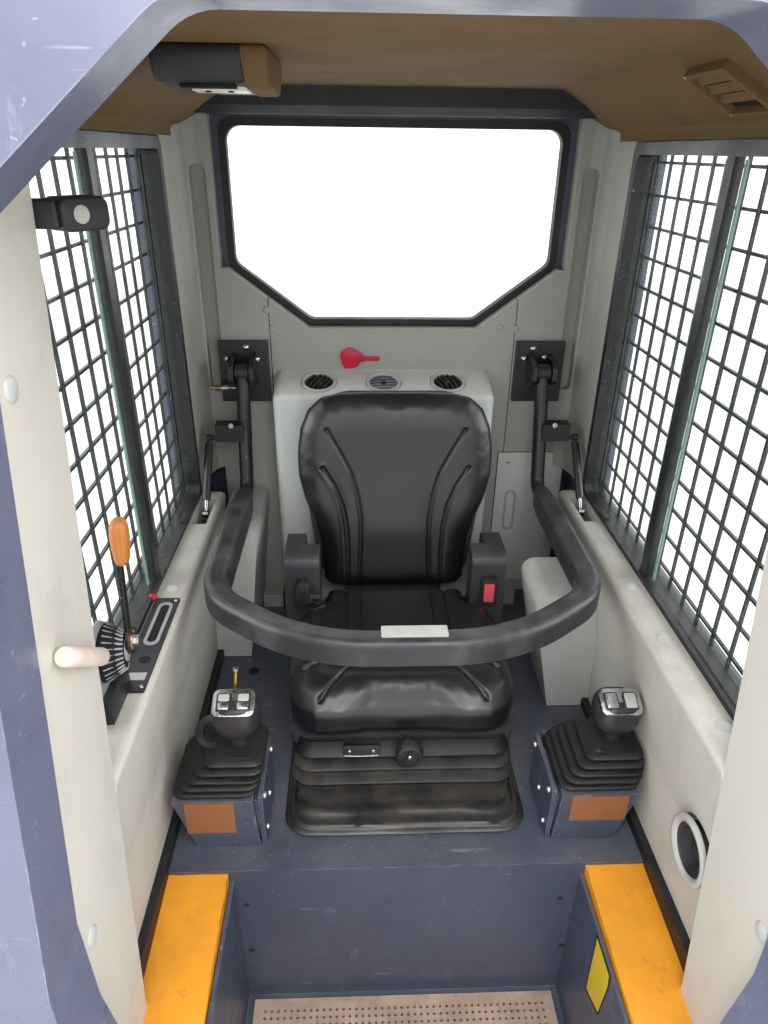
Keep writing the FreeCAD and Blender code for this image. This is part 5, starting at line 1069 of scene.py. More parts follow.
    def belt(self) -> None:
        """Tilted retractor with its steel tongue, and the buckle with its red button."""
        low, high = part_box("belt_retractor")
        top, face = high.z, low.y
        left = Shape()
        lean, across = Vector((0.16, 0, 1)).normalized(), Vector((1, 0, -0.16)).normalized()
        spot = Vector((-0.212, 0.2395, (low.z + top) / 2 - 0.002))
        left.slab(rounded(0.0165, 0.033, 0.012, 6), spot, across, lean, 0, 0.026)
        left.slab(rounded(0.0045, 0.024, 0.004), spot + across * 0.008, across, lean, 0.024, 0.029)
        made = make("belt_reel", left, Body.SEAT, "dark_moulding", [self.moulding], 2.5)
        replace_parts(made, "belt_retractor")
        tongue = Shape()
        tip = spot + Vector((0.0315, 0, -0.012))
        outer, inner = rounded(0.019, 0.0125, 0.004, 3), rounded(0.0085, 0.0055, 0.002, 3)
        place = lambda x, y, deep: tip + across * x + lean * y + Vector((0, -deep, 0))
        rings = [[place(x, y, deep) for x, y in loop]
                 for loop, deep in ((outer, 0.022), (outer, 0.0245), (inner, 0.0245), (inner, 0.022))]
        tongue.rings(rings + [rings[0]], 0, False)
        make("belt_tongue", tongue, Body.SEAT, "rod_chrome", [self.steel])
        low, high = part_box("belt_buckle")
        middle = Vector(((low.x + high.x) / 2, high.y - 0.0003, (low.z + high.z) / 2))
        case = Shape().slab(rounded(0.0175, 0.0325, 0.005), middle, (1, 0, 0), (0, 0, 1), 0, 0.0225)
        made = make("buckle_case", case, Body.SEAT, "dark_moulding", [self.moulding], 1.6)
        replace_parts(made, "belt_buckle")
        button = Shape().slab(rounded(0.0115, 0.0235, 0.0025), middle + Vector((-0.001, 0, 0.001)),
                              (1, 0, 0), (0, 0, 1), 0.021, 0.0262)
        make("buckle_button", button, Body.SEAT, "dark_moulding", [self.red], 1.0)

    def build(self) -> None:
        """Make every piece of the seat."""
        self.cushion()
        self.backrest()
        self.bellows()
        self.skirt()
        self.knob()
        self.belt()


@dataclass
class Coats:
    """Every material that the pieces use, CAD slots first."""

    slots: dict[str, bpy.types.Material]

    def __post_init__(self) -> None:
        """Make the extra finishes."""
        self.extra = {name: finish.build() for name, finish in EXTRAS.items()}

    def __getitem__(self, name: str) -> bpy.types.Material:
        """Find a material by slot or by extra name."""
        return self.extra[name] if name in self.extra else self.slots[name]


@dataclass
class Joysticks:
    """Both joysticks: folded rubber boots, round-nosed grips with a silver button plate."""

    coats: Coats
    bolts: Fasteners
    middle_y: float = -0.172
    top: float = 0.535
    # Fold height above the pod and half width, in millimetres
    folds: tuple[tuple[float, float], ...] = (
        (0, 66), (0, 71), (2, 72.5), (6, 72.5), (8, 70.5), (8, 63), (12, 62.5), (14, 69), (18, 70), (20, 68),
        (20.5, 59), (24, 58.5), (26, 64.5), (30, 65.5), (32, 64), (32.5, 53), (36, 52.5), (38, 58.5),
        (42, 59.5), (44, 57.5), (44.5, 45), (48, 44.5), (50, 50), (53.5, 51), (56, 49), (57, 38), (61, 37))
    # Height above the boot, half width and half depth of the grip, in millimetres
    grip: tuple[tuple[float, float, float], ...] = (
        (-4, 15, 15), (14, 15, 15), (24, 17, 16), (31, 26, 22), (38, 32, 27), (48, 37.5, 32), (60, 40.5, 35),
        (76, 41.5, 36), (90, 40.5, 35), (98, 38, 33), (104, 33, 28), (107, 22, 18))

    def boot(self, name: str, foot_x: float, head_x: float) -> None:
        """One boot, leaning from its foot to the grip's middle."""
        rings = []
        for up, half in self.folds:
            lean = (head_x - foot_x) * (up / 60) ** 1.1
            loop = rounded(half * MM, half * MM, half * 0.32 * MM, 6)
            rings.append([Vector((foot_x + lean + x, self.middle_y + y, self.top + up * MM)) for x, y in loop])
        make(name, Shape().rings(rings), Body.CAB, "rubber_black", [self.coats["rubber_black"]], 0, 50)

    def head(self, name: str, x: float, share: float) -> None:
        """One grip, a little flattened in front, with its buttons."""
        base = self.top + 0.060
        rings = []
        for up, half_x, half_y in self.grip:
            loop = rounded(half_x * MM, half_y * MM, min(half_x, half_y) * 0.86 * MM, 7)
            back = 0.004 * max(0.0, up - 40) / 60
            rings.append([Vector((x + a, self.middle_y + b + back, base + up * share * MM)) for a, b in loop])
        make(name, Shape().rings(rings), Body.CAB, "grip_plastic", [self.coats["grip_plastic"]], 0, 55)

    def plate(self, name: str, x: float, share: float, split: bool) -> None:
        """Silver faceplate, raised towards the operator, with two groups of buttons."""
        lean = Vector((0, 0.90, 0.43))
        across = Vector((1, 0, 0))
        shape = Shape()
        middle = Vector((x, self.middle_y - 0.006, self.top + 0.060 + 0.1015 * share))
        shape.slab(rounded(0.036, 0.0245, 0.012), middle, across, lean, -0.010, 0.006)
        out = across.cross(lean)
        for side in (-1, 1):
            spot = middle + across * side * 0.0165
            shape.slab(rounded(0.0125, 0.0165, 0.004), spot, across, lean, 0.005, 0.0082, 1)
            spot = spot + out * 0.0078
            if split:
                shape.slab(rounded(0.0095, 0.0065, 0.003), spot + lean * 0.0072, across, lean, 0, 0.0035, 2)
                shape.slab(rounded(0.0095, 0.0065, 0.003), spot - lean * 0.0072, across, lean, 0, 0.0030, 0)
            else:
                shape.slab(rounded(0.0098, 0.0135, 0.003), spot, across, lean, 0, 0.0032, 2 if side > 0 else 0)
        make(name, shape, Body.CAB, "grip_plastic",
             [self.coats["silver"], self.coats["grip_plastic"], self.coats["pale_plastic"]], 1.2)

    def collar(self) -> None:
        """Loose collar dish beside the left grip, and the small plug behind it."""
        shape = Shape()
        axis = Vector((0.12, -0.30, 0.95))
        shape.hollow([(20, -2), (26, -3), (33, 0), (34, 3), (32.5, 5), (28, 3.5), (23, 1.5), (20, 1)],
                     (-0.345, -0.150, 0.5985), axis, 36)
        make("grip_collar", shape, Body.CAB, "grip_plastic", [self.coats["grip_plastic"]], 0, 40)
        plug = Shape().rod((-0.300, -0.150, 0.690), (-0.298, -0.136, 0.728), 3.0, 8)
        plug.lathe([(2, 0), (5, 1), (5, 5), (2, 6)], (-0.298, -0.136, 0.726), (0, 0.2, 1), 10, 1)
        make("grip_plug", plug, Body.CAB, "rod_chrome", [self.coats["brass"], self.coats["zinc"]])

    def pods(self) -> None:
        """Bolts and blank stickers of both pods."""
        low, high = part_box("joystick_pods")
        inner = 0.252
        spots = [((side * inner, y, z), (-side, 0, 0)) for side in (-1, 1)
                 for y, z in ((-0.226, 0.523), (-0.175, 0.470), (-0.120, 0.523), (-0.222, 0.438))]
        self.bolts.place("pod_bolts", Spread.PLUG, spots, Body.CAB, "rod_chrome", self.coats["zinc"], 6.5, 5.5)
        shape = Shape()
        for low_x, high_x, low_z, high_z in ((-0.387, -0.302, 0.458, 0.532), (0.288, 0.389, 0.470, 0.530)):
            half, tall = (high_x - low_x) / 2, (high_z - low_z) / 2
            shape.slab(rounded(half, tall, 0.003), (low_x + half, low.y, low_z + tall), (1, 0, 0), (0, 0, 1),
                       -0.0002, 0.0006)
        make("pod_stickers", shape, Body.CAB, "trim_grey", [self.coats["brown_sticker"]])

    def build(self) -> None:
        """Make both joysticks."""
        for side, foot, head, share in (("left", -0.338, -0.298, 0.93), ("right", 0.338, 0.370, 0.82)):
            self.boot(f"boot_{side}", foot, head)
            self.head(f"grip_{side}", head, share)
            self.plate(f"grip_plate_{side}", head, share, side == "left")
        self.collar()
        self.pods()
        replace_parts(bpy.data.objects["boot_left"], "joystick_boots")
        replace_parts(bpy.data.objects["grip_left"], "joystick_grips")


@dataclass
class Vents:
    """Three round vents with pale rims and dark turned slats."""

    coats: Coats
    centres: tuple[float, float, float] = (-0.175, -0.023, 0.129)
    turns_deg: tuple[float, float, float] = (62, 4, -68)
    slope_deg: float = 17.4
    place_y: float = 0.5095
    place_z: float = 1.0435

    def build(self) -> None:
        """Make the rims, the dishes and the slats."""
        slope = math.radians(self.slope_deg)
        out = Vector((0, -math.sin(slope), math.cos(slope)))
        flat = Vector((0, math.cos(slope), math.sin(slope)))
        side = Vector((1, 0, 0))
        rims, dishes = Shape(), Shape()
        for x, turn_deg in zip(self.centres, self.turns_deg):
            spot = Vector((x, self.place_y, self.place_z))
            rims.hollow([(33.5, -10), (40.6, -10), (40.8, 2), (40, 4), (38, 5.2), (35.5, 4.6), (34, 2.5)],
                        spot, out, 48)
            # Painted shade: the open vents' dishes take the near-black material, standing in for the shade inside the
            # ducts; closed ones show their blue-grey shutters.
            closed = abs(turn_deg) < 10
            dishes.lathe([(33.6, -9.5), (33.4, -3.5), (30, -2.5 if closed else -7.5), (2, -2 if closed else -8)],
                         spot, out, 40, 2 if closed else 0)
            turn = math.radians(turn_deg)
            along = side * math.cos(turn) + flat * math.sin(turn)
            over = side * -math.sin(turn) + flat * math.cos(turn)
            for number in range(-2, 3):
                reach = math.sqrt(max(31.5 ** 2 - (number * 11.5) ** 2, 9)) * MM
                middle = spot + over * number * 11.5 * MM
                sag = 3.0 if closed else 6.0
                path = [middle + along * reach * step / 4 + over * (1 - (step / 4) ** 2) * sag * MM * 0.7
                        + out * (-1.5 if closed else 0) * MM for step in range(-4, 5)]
                dishes.sweep(path, 1.0 if closed else 2.2, 6, 1)
            dishes.lathe([(6, -3), (6, 1), (4, 2)], spot, out, 16, 1)
        make("vent_rims", rims, Body.CAB, "trim_grey", [self.coats["pale_plastic"]], 0, 40)
        made = make("vent_slats", dishes, Body.CAB, "dark_moulding",
                    [self.coats["soot"], self.coats["dark_moulding"], self.coats["steel_blue"]], 0, 40)
        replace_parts(made, "air_vents")


@dataclass
class Hinges:
    """Bolts of the bar's brackets and the fitting beside the left one."""

    coats: Coats
    bolts: Fasteners

    def build(self) -> None:
        """Set the bolts and the fitting."""
        face = 0.5455
        spots = [((x, face, z), (0, -1, 0)) for x, z in (
            (-0.392, 1.090), (-0.345, 1.117), (-0.321, 1.089), (0.314, 1.092), (0.333, 1.116), (0.362, 1.094))]
        self.bolts.place("bracket_bolts", Spread.PLUG, spots, Body.CAB, "rod_chrome", self.coats["zinc"], 8.2, 7.5)
        spots = [((side * 0.3765, 0.437, 0.962), (0, -1, 0)) for side in (-1, 1)]
        self.bolts.place("arm_bolts", Spread.BOLT, spots, Body.BAR, "rod_chrome", self.coats["zinc"], 4.2, 2.6)
        shape = Shape()
        start = Vector((-0.432, 0.520, 1.026))
        for reach, radius, mark in ((0, 4.5, 1), (12, 6.5, 0), (20, 3.5, 1), (30, 6.5, 1), (40, 4.2, 0)):
            shape.rod(start + Vector((reach * MM, 0, 0)), start + Vector(((reach + 12) * MM, 0, 0)), radius, 10, mark)
        shape.rod(start, start + Vector((0.060, 0, 0)), 2.5, 8, 1)
        make("grease_fitting", shape, Body.CAB, "rod_chrome", [self.coats["brass"], self.coats["zinc"]])
        label = Shape().slab(rounded(0.055, 0.0155, 0.003), (0.007, -0.167, 0.829), (1, 0, 0), (0, 1, 0),
                             -0.0006, 0.0007)
        make("bar_label", label, Body.BAR, "trim_grey", [self.coats["white_label"]])


@dataclass
class Throttle:
    """Hand throttle with its grooved knob, finned drum and pin, and the plate beside it."""

    coats: Coats
    bolts: Fasteners

    def lever(self) -> None:
        """Black bar, orange grooved knob, hub washers and bolt."""
        knob, hub = Vector((-0.400, -0.276, 1.066)), Vector((-0.4045, -0.288, 0.912))
        lean = (knob - hub).normalized()
        across = Vector((0, 1, 0))
        bar = Shape()
        bar.slab([(-0.007, 0.0), (0.007, 0.0), (0.006, 0.132), (-0.006, 0.132)], hub + Vector((-0.004, 0, 0)),
                 across, lean, -0.003, 0.003)
        bar.lathe([(19, -4), (19, 2)], hub, (1, 0, 0), 24)
        made = make("throttle_bar", bar, Body.CAB, "black_paint", [self.coats["black_paint"]], 0.8)
        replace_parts(made, "throttle_lever")
        rings = []
        for up, half in ((-34, 7), (-33, 10), (-26, 12.5), (-10, 15), (8, 16), (22, 15), (29, 12), (33, 7), (34, 3)):
            ring = []
            for step in range(48):
                turn = 2 * math.pi * step / 48
                groove = 1 - 0.13 * math.exp(-((math.sin(turn * 2.5)) / 0.35) ** 2) * (1 if abs(up) < 30 else 0)
                ring.append(knob + lean * up * MM * 0.97 + Vector((0.8 * half * groove * math.cos(turn) * MM,
                                                                   half * groove * math.sin(turn) * MM, 0)))
            rings.append(ring)
        make("throttle_knob", Shape().rings(rings), Body.CAB, "grip_plastic", [self.coats["orange_knob"]], 0, 60)
        washers = Shape()
        washers.lathe([(17.5, 2), (17.5, 3.4)], hub, (1, 0, 0), 28, 1)
        washers.lathe([(14.5, 3.4), (14.5, 5.4)], hub, (1, 0, 0), 28, 0)
        washers.lathe([(7.5, 5.4), (7.5, 9.5), (6, 10.5)], hub, (1, 0, 0), 6, 0)
        make("throttle_washers", washers, Body.CAB, "rod_chrome", [self.coats["zinc"], self.coats["copper"]])

    def drum(self) -> None:
        """Finned friction drum and its bracket."""
        hub = Vector((-0.446, -0.300, 0.900))
        out = Vector((1, 0.16, 0)).normalized()
        shape = Shape()
        shape.lathe([(40, 0), (42, 4), (42, 9), (34, 24), (24, 34)], hub, out, 40, 1)
        first, second, _ = basis(out)
        for step in range(26):
            turn = 2 * math.pi * step / 26
            ray = first * math.cos(turn) + second * math.sin(turn)
            low, high = hub + ray * 0.041 + out * 0.009, hub + ray * 0.026 + out * 0.034
            shape.rod(low, high, 1.9, 5)
        shape.lathe([(16, 30), (16, 36), (12, 38)], hub, out, 24)
        shape.slab([(-0.055, -0.090), (0.030, -0.090), (0.030, 0.030), (0.005, 0.052), (-0.020, 0.052),
                    (-0.055, 0.020)], hub + Vector((0.001, 0, 0)), (0, 1, 0), (0, 0, 1), -0.0005, 0.005)
        shape.slab([(-0.085, -0.012), (-0.045, -0.012), (-0.045, 0.022), (-0.085, 0.022)],
                   hub + Vector((0.001, 0, 0)), (0, 1, 0), (0, 0, 1), -0.0005, 0.012)
        made = make("throttle_drum", shape, Body.CAB, "dark_moulding",
                    [self.coats["cast_grey"], self.coats["soot"]], 0.7, 40)
        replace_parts(made, "throttle_mount")
        foot = Shape().block((-0.4465, -0.345, 0.8075), (-0.428, -0.262, 0.850))
        make("throttle_foot", foot, Body.CAB, "dark_moulding", [self.coats["dark_moulding"]], 1.5)
        pin_start, pin_end = Vector((-0.388, -0.510, 1.0625)), Vector((-0.388, -0.428, 0.996))
        pin = Shape().lathe([(10, 0), (11, 1.5), (11, 103), (10, 105)], pin_start, pin_end - pin_start, 24)
        make("throttle_pin", pin, Body.CAB, "trim_grey", [self.coats["nylon"]], 0, 40)

    def console(self) -> None:
        """Dark plate with a long ringed slot, an oval hole, a blank label and screws."""
        low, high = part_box("console_plate")
        top = high.z
        shape = Shape()
        half_x, half_y = (high.x - low.x) / 2, (high.y - low.y) / 2
        middle = ((low.x + high.x) / 2, (low.y + high.y) / 2, 0)
        shape.slab(rounded(half_x, half_y, 0.003), middle, (1, 0, 0), (0, 1, 0), low.z, top)
        slot_x, slot_y = middle[0] + 0.002, -0.112
        outer, inner = rounded(0.0125, 0.060, 0.012, 6), rounded(0.0075, 0.053, 0.0073, 6)
        levels = [(outer, top - 0.0005), (outer, top + 0.0018), (inner, top + 0.0018), (inner, top - 0.0005)]
        rings = [[Vector((slot_x + x, slot_y + y, level)) for x, y in loop] for loop, level in levels]
        start = len(shape.points)
        shape.rings(rings + [rings[0]], 1, False)
        # Painted shade: near-black slabs fill the slot and the oval hole, where there is only shade inside.
        shape.slab(inner, (slot_x, slot_y, 0), (1, 0, 0), (0, 1, 0), top - 0.0003, top + 0.0003, 2)
        shape.slab(rounded(0.0095, 0.0085, 0.0084, 6), (middle[0] + 0.004, -0.207, 0), (1, 0, 0), (0, 1, 0),
                   top - 0.0003, top + 0.0004, 2)
        shape.slab(rounded(0.015, 0.0085, 0.001), (middle[0] + 0.001, -0.247, 0), (1, 0, 0), (0, 1, 0),
                   top - 0.0003, top + 0.0006, 3)
        made = make("console_face", shape, Body.CAB, "dark_moulding",
                    [self.coats["dark_moulding"], self.coats["cast_grey"], self.coats["soot"],
                     self.coats["white_label"]], 0, 30)
        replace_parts(made, "console_plate")
        spots = [((x, y, top), (0, 0, 1)) for x, y in (
            (high.x - 0.006, -0.044), (low.x + 0.006, -0.272), (high.x - 0.006, -0.270), (slot_x, -0.055),
            (slot_x, -0.168))]
        self.bolts.place("console_screws", Spread.PLUG, spots, Body.CAB, "rod_chrome", self.coats["zinc"], 3.4, 1.6)
        knob = Shape().lathe([(6, 0), (8, 1), (8, 7), (5, 11), (2, 12)], (-0.454, -0.036, 0.807), (0, 0, 1), 14)
        knob.lathe([(2.5, 0), (3.5, 4), (2, 7)], (-0.4445, -0.245, 0.880), (0, 0, 1), 8)
        knob.rod((-0.4445, -0.245, 0.8105), (-0.4445, -0.245, 0.881), 1.6, 6, 1)
        make("console_knob", knob, Body.CAB, "trim_grey", [self.coats["red_plastic"], self.coats["dark_moulding"]])

    def build(self) -> None:
        """Make lever, drum and console."""
        self.lever()
        self.drum()
        self.console()


@dataclass
class Ceiling:
    """Lamp module, louvre and the pod lamp on the left pillar."""

    coats: Coats
    bolts: Fasteners

    def lamp(self) -> None:
        """Dark module with a tan side, a slot and a pale lens underneath."""
        low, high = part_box("ceiling_lamp")
        shape = Shape()
        shape.slab([(low.y, 0.001), (low.y + 0.012, 0.026), (high.y - 0.03, 0.030), (high.y, 0.004),
                    (high.y, -0.014), (low.y, -0.014)],
                   (0, 0, low.z + 0.030), (0, 1, 0), (0, 0, -1), 0.030 - high.x, -low.x)
        shape.slab([(low.y, 0.0), (low.y + 0.02, 0.030), (high.y - 0.04, 0.032), (high.y, 0.004),
                    (high.y, -0.014), (low.y, -0.014)],
                   (0, 0, low.z + 0.030), (0, 1, 0), (0, 0, -1), -high.x, 0.034 - high.x, 1)
        made = make("lamp_module", shape, Body.CAB, "dark_moulding",
                    [self.coats["dark_moulding"], self.coats["liner_tan"]], 5, 50)
        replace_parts(made, "ceiling_lamp")
        under = Shape()
        # Painted shade: a near-black block stands for the shaded slot under the module.
        under.block((-0.300, -0.084, low.z - 0.001), (-0.232, -0.066, low.z + 0.006), 1)
        under.block((-0.292, -0.050, low.z - 0.002), (-0.222, -0.006, low.z + 0.006), 0)
        under.lathe([(4, 0), (4, 3)], (-0.272, -0.046, low.z - 0.0005), (0, 0, -1), 10, 1)
        under.lathe([(4, 0), (4, 3)], (-0.243, -0.046, low.z - 0.0005), (0, 0, -1), 10, 1)
        make("lamp_lens", under, Body.CAB, "trim_grey", [self.coats["lens"], self.coats["soot"]], 0.8)
        dome = Shape().lathe([(14, 0), (13, 4), (9, 7), (3, 8)], (0.026, -0.263, 1.6495), (0, 0, -1), 24)
        make("ceiling_dome", dome, Body.CAB, "dark_moulding", [self.coats["dark_moulding"]], 0, 50)

    def louvre(self) -> None:
        """Tan frame with three tan slats over a dark opening, screws at its corners."""
        low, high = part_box("ceiling_louvre")
        out = Vector((-0.49, 0, -0.87)).normalized()
        across, along = Vector((0.87, 0, -0.49)).normalized(), Vector((0, -1, 0))
        middle = (low + high) / 2 + out * 0.000
        shape = Shape()
        outer, inner = rounded(0.045, 0.057, 0.005), rounded(0.038, 0.049, 0.004)
        place = lambda x, y, level: middle + across * x + along * y + out * level
        levels = ((outer, -0.005), (outer, 0.007), (inner, 0.008), (inner, -0.005))
        rings = [[place(x, y, level) for x, y in loop] for loop, level in levels]
        shape.rings(rings + [rings[0]], 0, False)
        # Painted shade: a near-black slab behind the slats stands for the shaded opening.
        shape.slab(inner, middle, across, along, -0.005, -0.002, 1)
        for number in range(3):
            spot = middle + across * (-0.026 + number * 0.020)
            shape.slab(rounded(0.0068, 0.0465, 0.002), spot, (across + out * 0.35), along, 0.0, 0.003, 0)
        made = make("louvre_frame", shape, Body.CAB, "liner_tan", [self.coats["liner_tan"], self.coats["soot"]],
                    0.8, 40)
        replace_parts(made, "ceiling_louvre")
        spots = [(tuple(place(x, y, 0.006)), tuple(out)) for x, y in ((0.040, 0.050), (0.040, -0.050),
                                                                      (-0.041, -0.050))]
        self.bolts.place("louvre_screws", Spread.PLUG, spots, Body.CAB, "rod_chrome", self.coats["zinc"], 4.0, 2.4)

    def pillar_lamp(self) -> None:
        """Rounded pod on a bracket, with a blank pale dot."""
        low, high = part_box("pillar_lamp")
        middle = (low + high) / 2
        shape = Shape()
        out = Vector((0.80, -0.60, 0)).normalized()
        across = Vector((0.60, 0.80, 0)).normalized()
        spot = Vector((high.x - 0.018, middle.y, middle.z))
        shape.slab(rounded(0.028, 0.0165, 0.010), spot, across, (0, 0, 1), -0.022, 0.012)
        shape.block((low.x, low.y + 0.008, low.z + 0.006), (high.x - 0.030, low.y + 0.030, high.z - 0.004))
        made = make("pod_lamp", shape, Body.CAB, "dark_moulding", [self.coats["dark_moulding"]], 3, 50)
        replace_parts(made, "pillar_lamp")
        dot = Shape().lathe([(9, 0), (9, 1), (8, 1.4)], spot + out * 0.0118 - across * 0.006, out, 20)
        make("pod_lamp_dot", dot, Body.CAB, "trim_grey", [self.coats["pale_plastic"]])

    def pane_edges(self) -> None:
        """Greenish cut edges of the sliding panes, beside their stiles."""
        low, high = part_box("side_panes")
        shape = Shape()
        for side in (-1, 1):
            face = side * (high.x - 0.006)
            for y, wide in ((-0.012, 0.007), (0.043, 0.005), (0.052, 0.004)):
                shape.block((min(face, face - side * 0.003), y, low.z + 0.004),
                            (max(face, face - side * 0.003), y + wide, high.z - 0.004))
        make("pane_edges", shape, Body.CAB, "window_glass", [self.coats["pane_edge"]])

    def build(self) -> None:
        """Make everything under the roof."""
        self.pane_edges()
        self.lamp()
        self.louvre()
        self.pillar_lamp()


@dataclass
class Footwell:
    """Perforated mat, riser holes and blank diamond sticker."""

    coats: Coats
    bolts: Fasteners
    pitch_mm: float = 12.5
    hole_mm: float = 2.9

    def tile(self) -> bpy.types.Object:
        """One closed square of the mat with an eight-sided hole."""
        half, hole = self.pitch_mm / 2, self.hole_mm
        low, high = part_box("footwell_mat")
        corners = [(half, 0), (half, half), (0, half), (-half, half), (-half, 0), (-half, -half), (0, -half),
                   (half, -half)]
        loops = []
        for reach, level in ((0, high.z), (1, high.z), (1, low.z), (0, low.z)):
            if reach:
                loop = [(x, y) for x, y in corners]
            else:
                loop = [(hole * math.cos(math.pi / 4 * k), hole * math.sin(math.pi / 4 * k)) for k in range(8)]
            loops.append([Vector((x * MM, y * MM, level)) for x, y in loop])
        shape = Shape().rings(loops + [loops[0]], 0, False)
        mesh = bpy.data.meshes.new("mat_tile")
        mesh.from_pydata(shape.points, [], shape.faces)
        work = bmesh.new()
        work.from_mesh(mesh)
        bmesh.ops.remove_doubles(work, verts=work.verts, dist=1e-6)
        bmesh.ops.recalc_face_normals(work, faces=work.faces)
        work.to_mesh(mesh)
        work.free()
        return put_in_scene("mat_tile", mesh)

    def mat(self) -> None:
        """Set the tile on a grid by Geometry Nodes and frame the field with a plain border."""
        low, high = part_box("footwell_mat")
        tile = self.tile()
        count_x, count_y = 44, 21
        size_x, size_y = (count_x - 1) * self.pitch_mm * MM, (count_y - 1) * self.pitch_mm * MM
        middle = (low + high) / 2
        tree = bpy.data.node_groups.new("perforate", "GeometryNodeTree")
        face = tree.interface
        face.new_socket("Base", in_out="INPUT", socket_type="NodeSocketGeometry")
        inputs = {}
        for label, kind in (("Tile", "NodeSocketObject"), ("Finish", "NodeSocketMaterial"),
                            ("Columns", "NodeSocketInt"), ("Rows", "NodeSocketInt")):
            inputs[label] = face.new_socket(label, in_out="INPUT", socket_type=kind).identifier
        face.new_socket("Mesh", in_out="OUTPUT", socket_type="NodeSocketGeometry")
        given = add(tree, "NodeGroupInput").outputs
        grid = add(tree, "GeometryNodeMeshGrid", {"Size X": size_x, "Size Y": size_y},
                   {"Vertices X": given["Columns"], "Vertices Y": given["Rows"]})
        moved = add(tree, "GeometryNodeTransform", {"Translation": (middle.x, middle.y, 0)},
                    {"Geometry": grid.outputs["Mesh"]})
        item = add(tree, "GeometryNodeObjectInfo", {"transform_space": "ORIGINAL"}, {"Object": given["Tile"]})
        spread = add(tree, "GeometryNodeInstanceOnPoints",
                     links={"Points": moved.outputs["Geometry"], "Instance": item.outputs["Geometry"]})
        real = add(tree, "GeometryNodeRealizeInstances", links={"Geometry": spread.outputs["Instances"]})
        dressed = add(tree, "GeometryNodeSetMaterial",
                      links={"Geometry": real.outputs["Geometry"], "Material": given["Finish"]})
        add(tree, "NodeGroupOutput", links={0: dressed.outputs["Geometry"]})
        mesh = bpy.data.meshes.new("mat_field")
        mesh.from_pydata([(0, 0, 0)], [], [])
        field = put_in_scene("mat_field", mesh)
        modifier = field.modifiers.new("perforate", "NODES")
        modifier.node_group = tree
        for label, value in (("Tile", tile), ("Finish", self.coats["mat_rubber"]), ("Columns", count_x),
                             ("Rows", count_y)):
            modifier[inputs[label]] = value
        field.data = plain_mesh(field)
        field.modifiers.clear()
        bpy.data.objects.remove(tile)
        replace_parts(field, "footwell_mat")
        settle(field, Body.CAB, "mat_rubber")
        border = Shape()
        half_x, half_y = size_x / 2 + self.pitch_mm * MM / 2, size_y / 2 + self.pitch_mm * MM / 2
        edge_x, edge_y = (high.x - low.x) / 2, (high.y - low.y) / 2
        outer = [(edge_x, edge_y), (-edge_x, edge_y), (-edge_x, -edge_y), (edge_x, -edge_y)]
        inner = [(half_x, half_y), (-half_x, half_y), (-half_x, -half_y), (half_x, -half_y)]
        rings = [[Vector((middle.x + x, middle.y + y, level)) for x, y in loop]
                 for loop, level in ((outer, low.z), (outer, high.z), (inner, high.z), (inner, low.z))]
        border.rings(rings + [rings[0]], 0, False)
        made = make("mat_border", border, Body.CAB, "mat_rubber", [self.coats["mat_rubber"]])
        # Painted shade: a near-black sheet under the mat, seen through its holes where the floor below lies in shade.
        under = Shape().block((low.x + 0.002, low.y + 0.002, low.z - 0.0008), (high.x - 0.002, high.y - 0.002,
                                                                             low.z + 0.0006))
        make("mat_back", under, Body.CAB, "mat_rubber", [self.coats["soot"]])

    def marks(self) -> None:
        """Riser holes, platform hole and the blank diamond sticker."""
        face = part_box("floor_platform")[0].y
        spots = [((x, face, z), (0, -1, 0)) for x, z in (
            (-0.288, 0.327), (0.279, 0.323), (-0.289, 0.192), (0.300, 0.179))]
        self.bolts.place("riser_holes", Spread.PLUG, spots, Body.CAB, "cab_paint", self.coats["rust"], 6.0, 0.8)
        hole = Shape().lathe([(14, 0), (13, 0.8), (2, 0.8)], (-0.336, 0.225, 0.4199), (0, 0, 1), 20)
        # Painted shade: a near-black disc stands for the shade at the bottom of the hole.
        hole.lathe([(8, 0.8), (8, 1.2)], (-0.336, 0.225, 0.4199), (0, 0, 1), 16, 1)
        make("platform_hole", hole, Body.CAB, "cab_paint", [self.coats["rust"], self.coats["soot"]])
        corners = [(-0.404, 0.389), (-0.470, 0.389), (-0.474, 0.362), (-0.466, 0.268), (-0.409, 0.240)]
        wall = 0.3050
        middle_y = sum(y for y, _ in corners) / len(corners)
        middle_z = sum(z for _, z in corners) / len(corners)
        shape = Shape()
        for share, lift, mark in ((1.0, 0.0004, 0), (0.9, 0.0007, 1)):
            shape.rings([[Vector((wall + side, middle_y + (y - middle_y) * share, middle_z + (z - middle_z) * share))
                          for y, z in corners] for side in (0.0003, -lift)], mark)
        make("side_sticker", shape, Body.CAB, "trim_grey", [self.coats["soot"], self.coats["yellow_sticker"]])

    def build(self) -> None:
        """Make the footwell's details."""
        self.mat()
        self.marks()


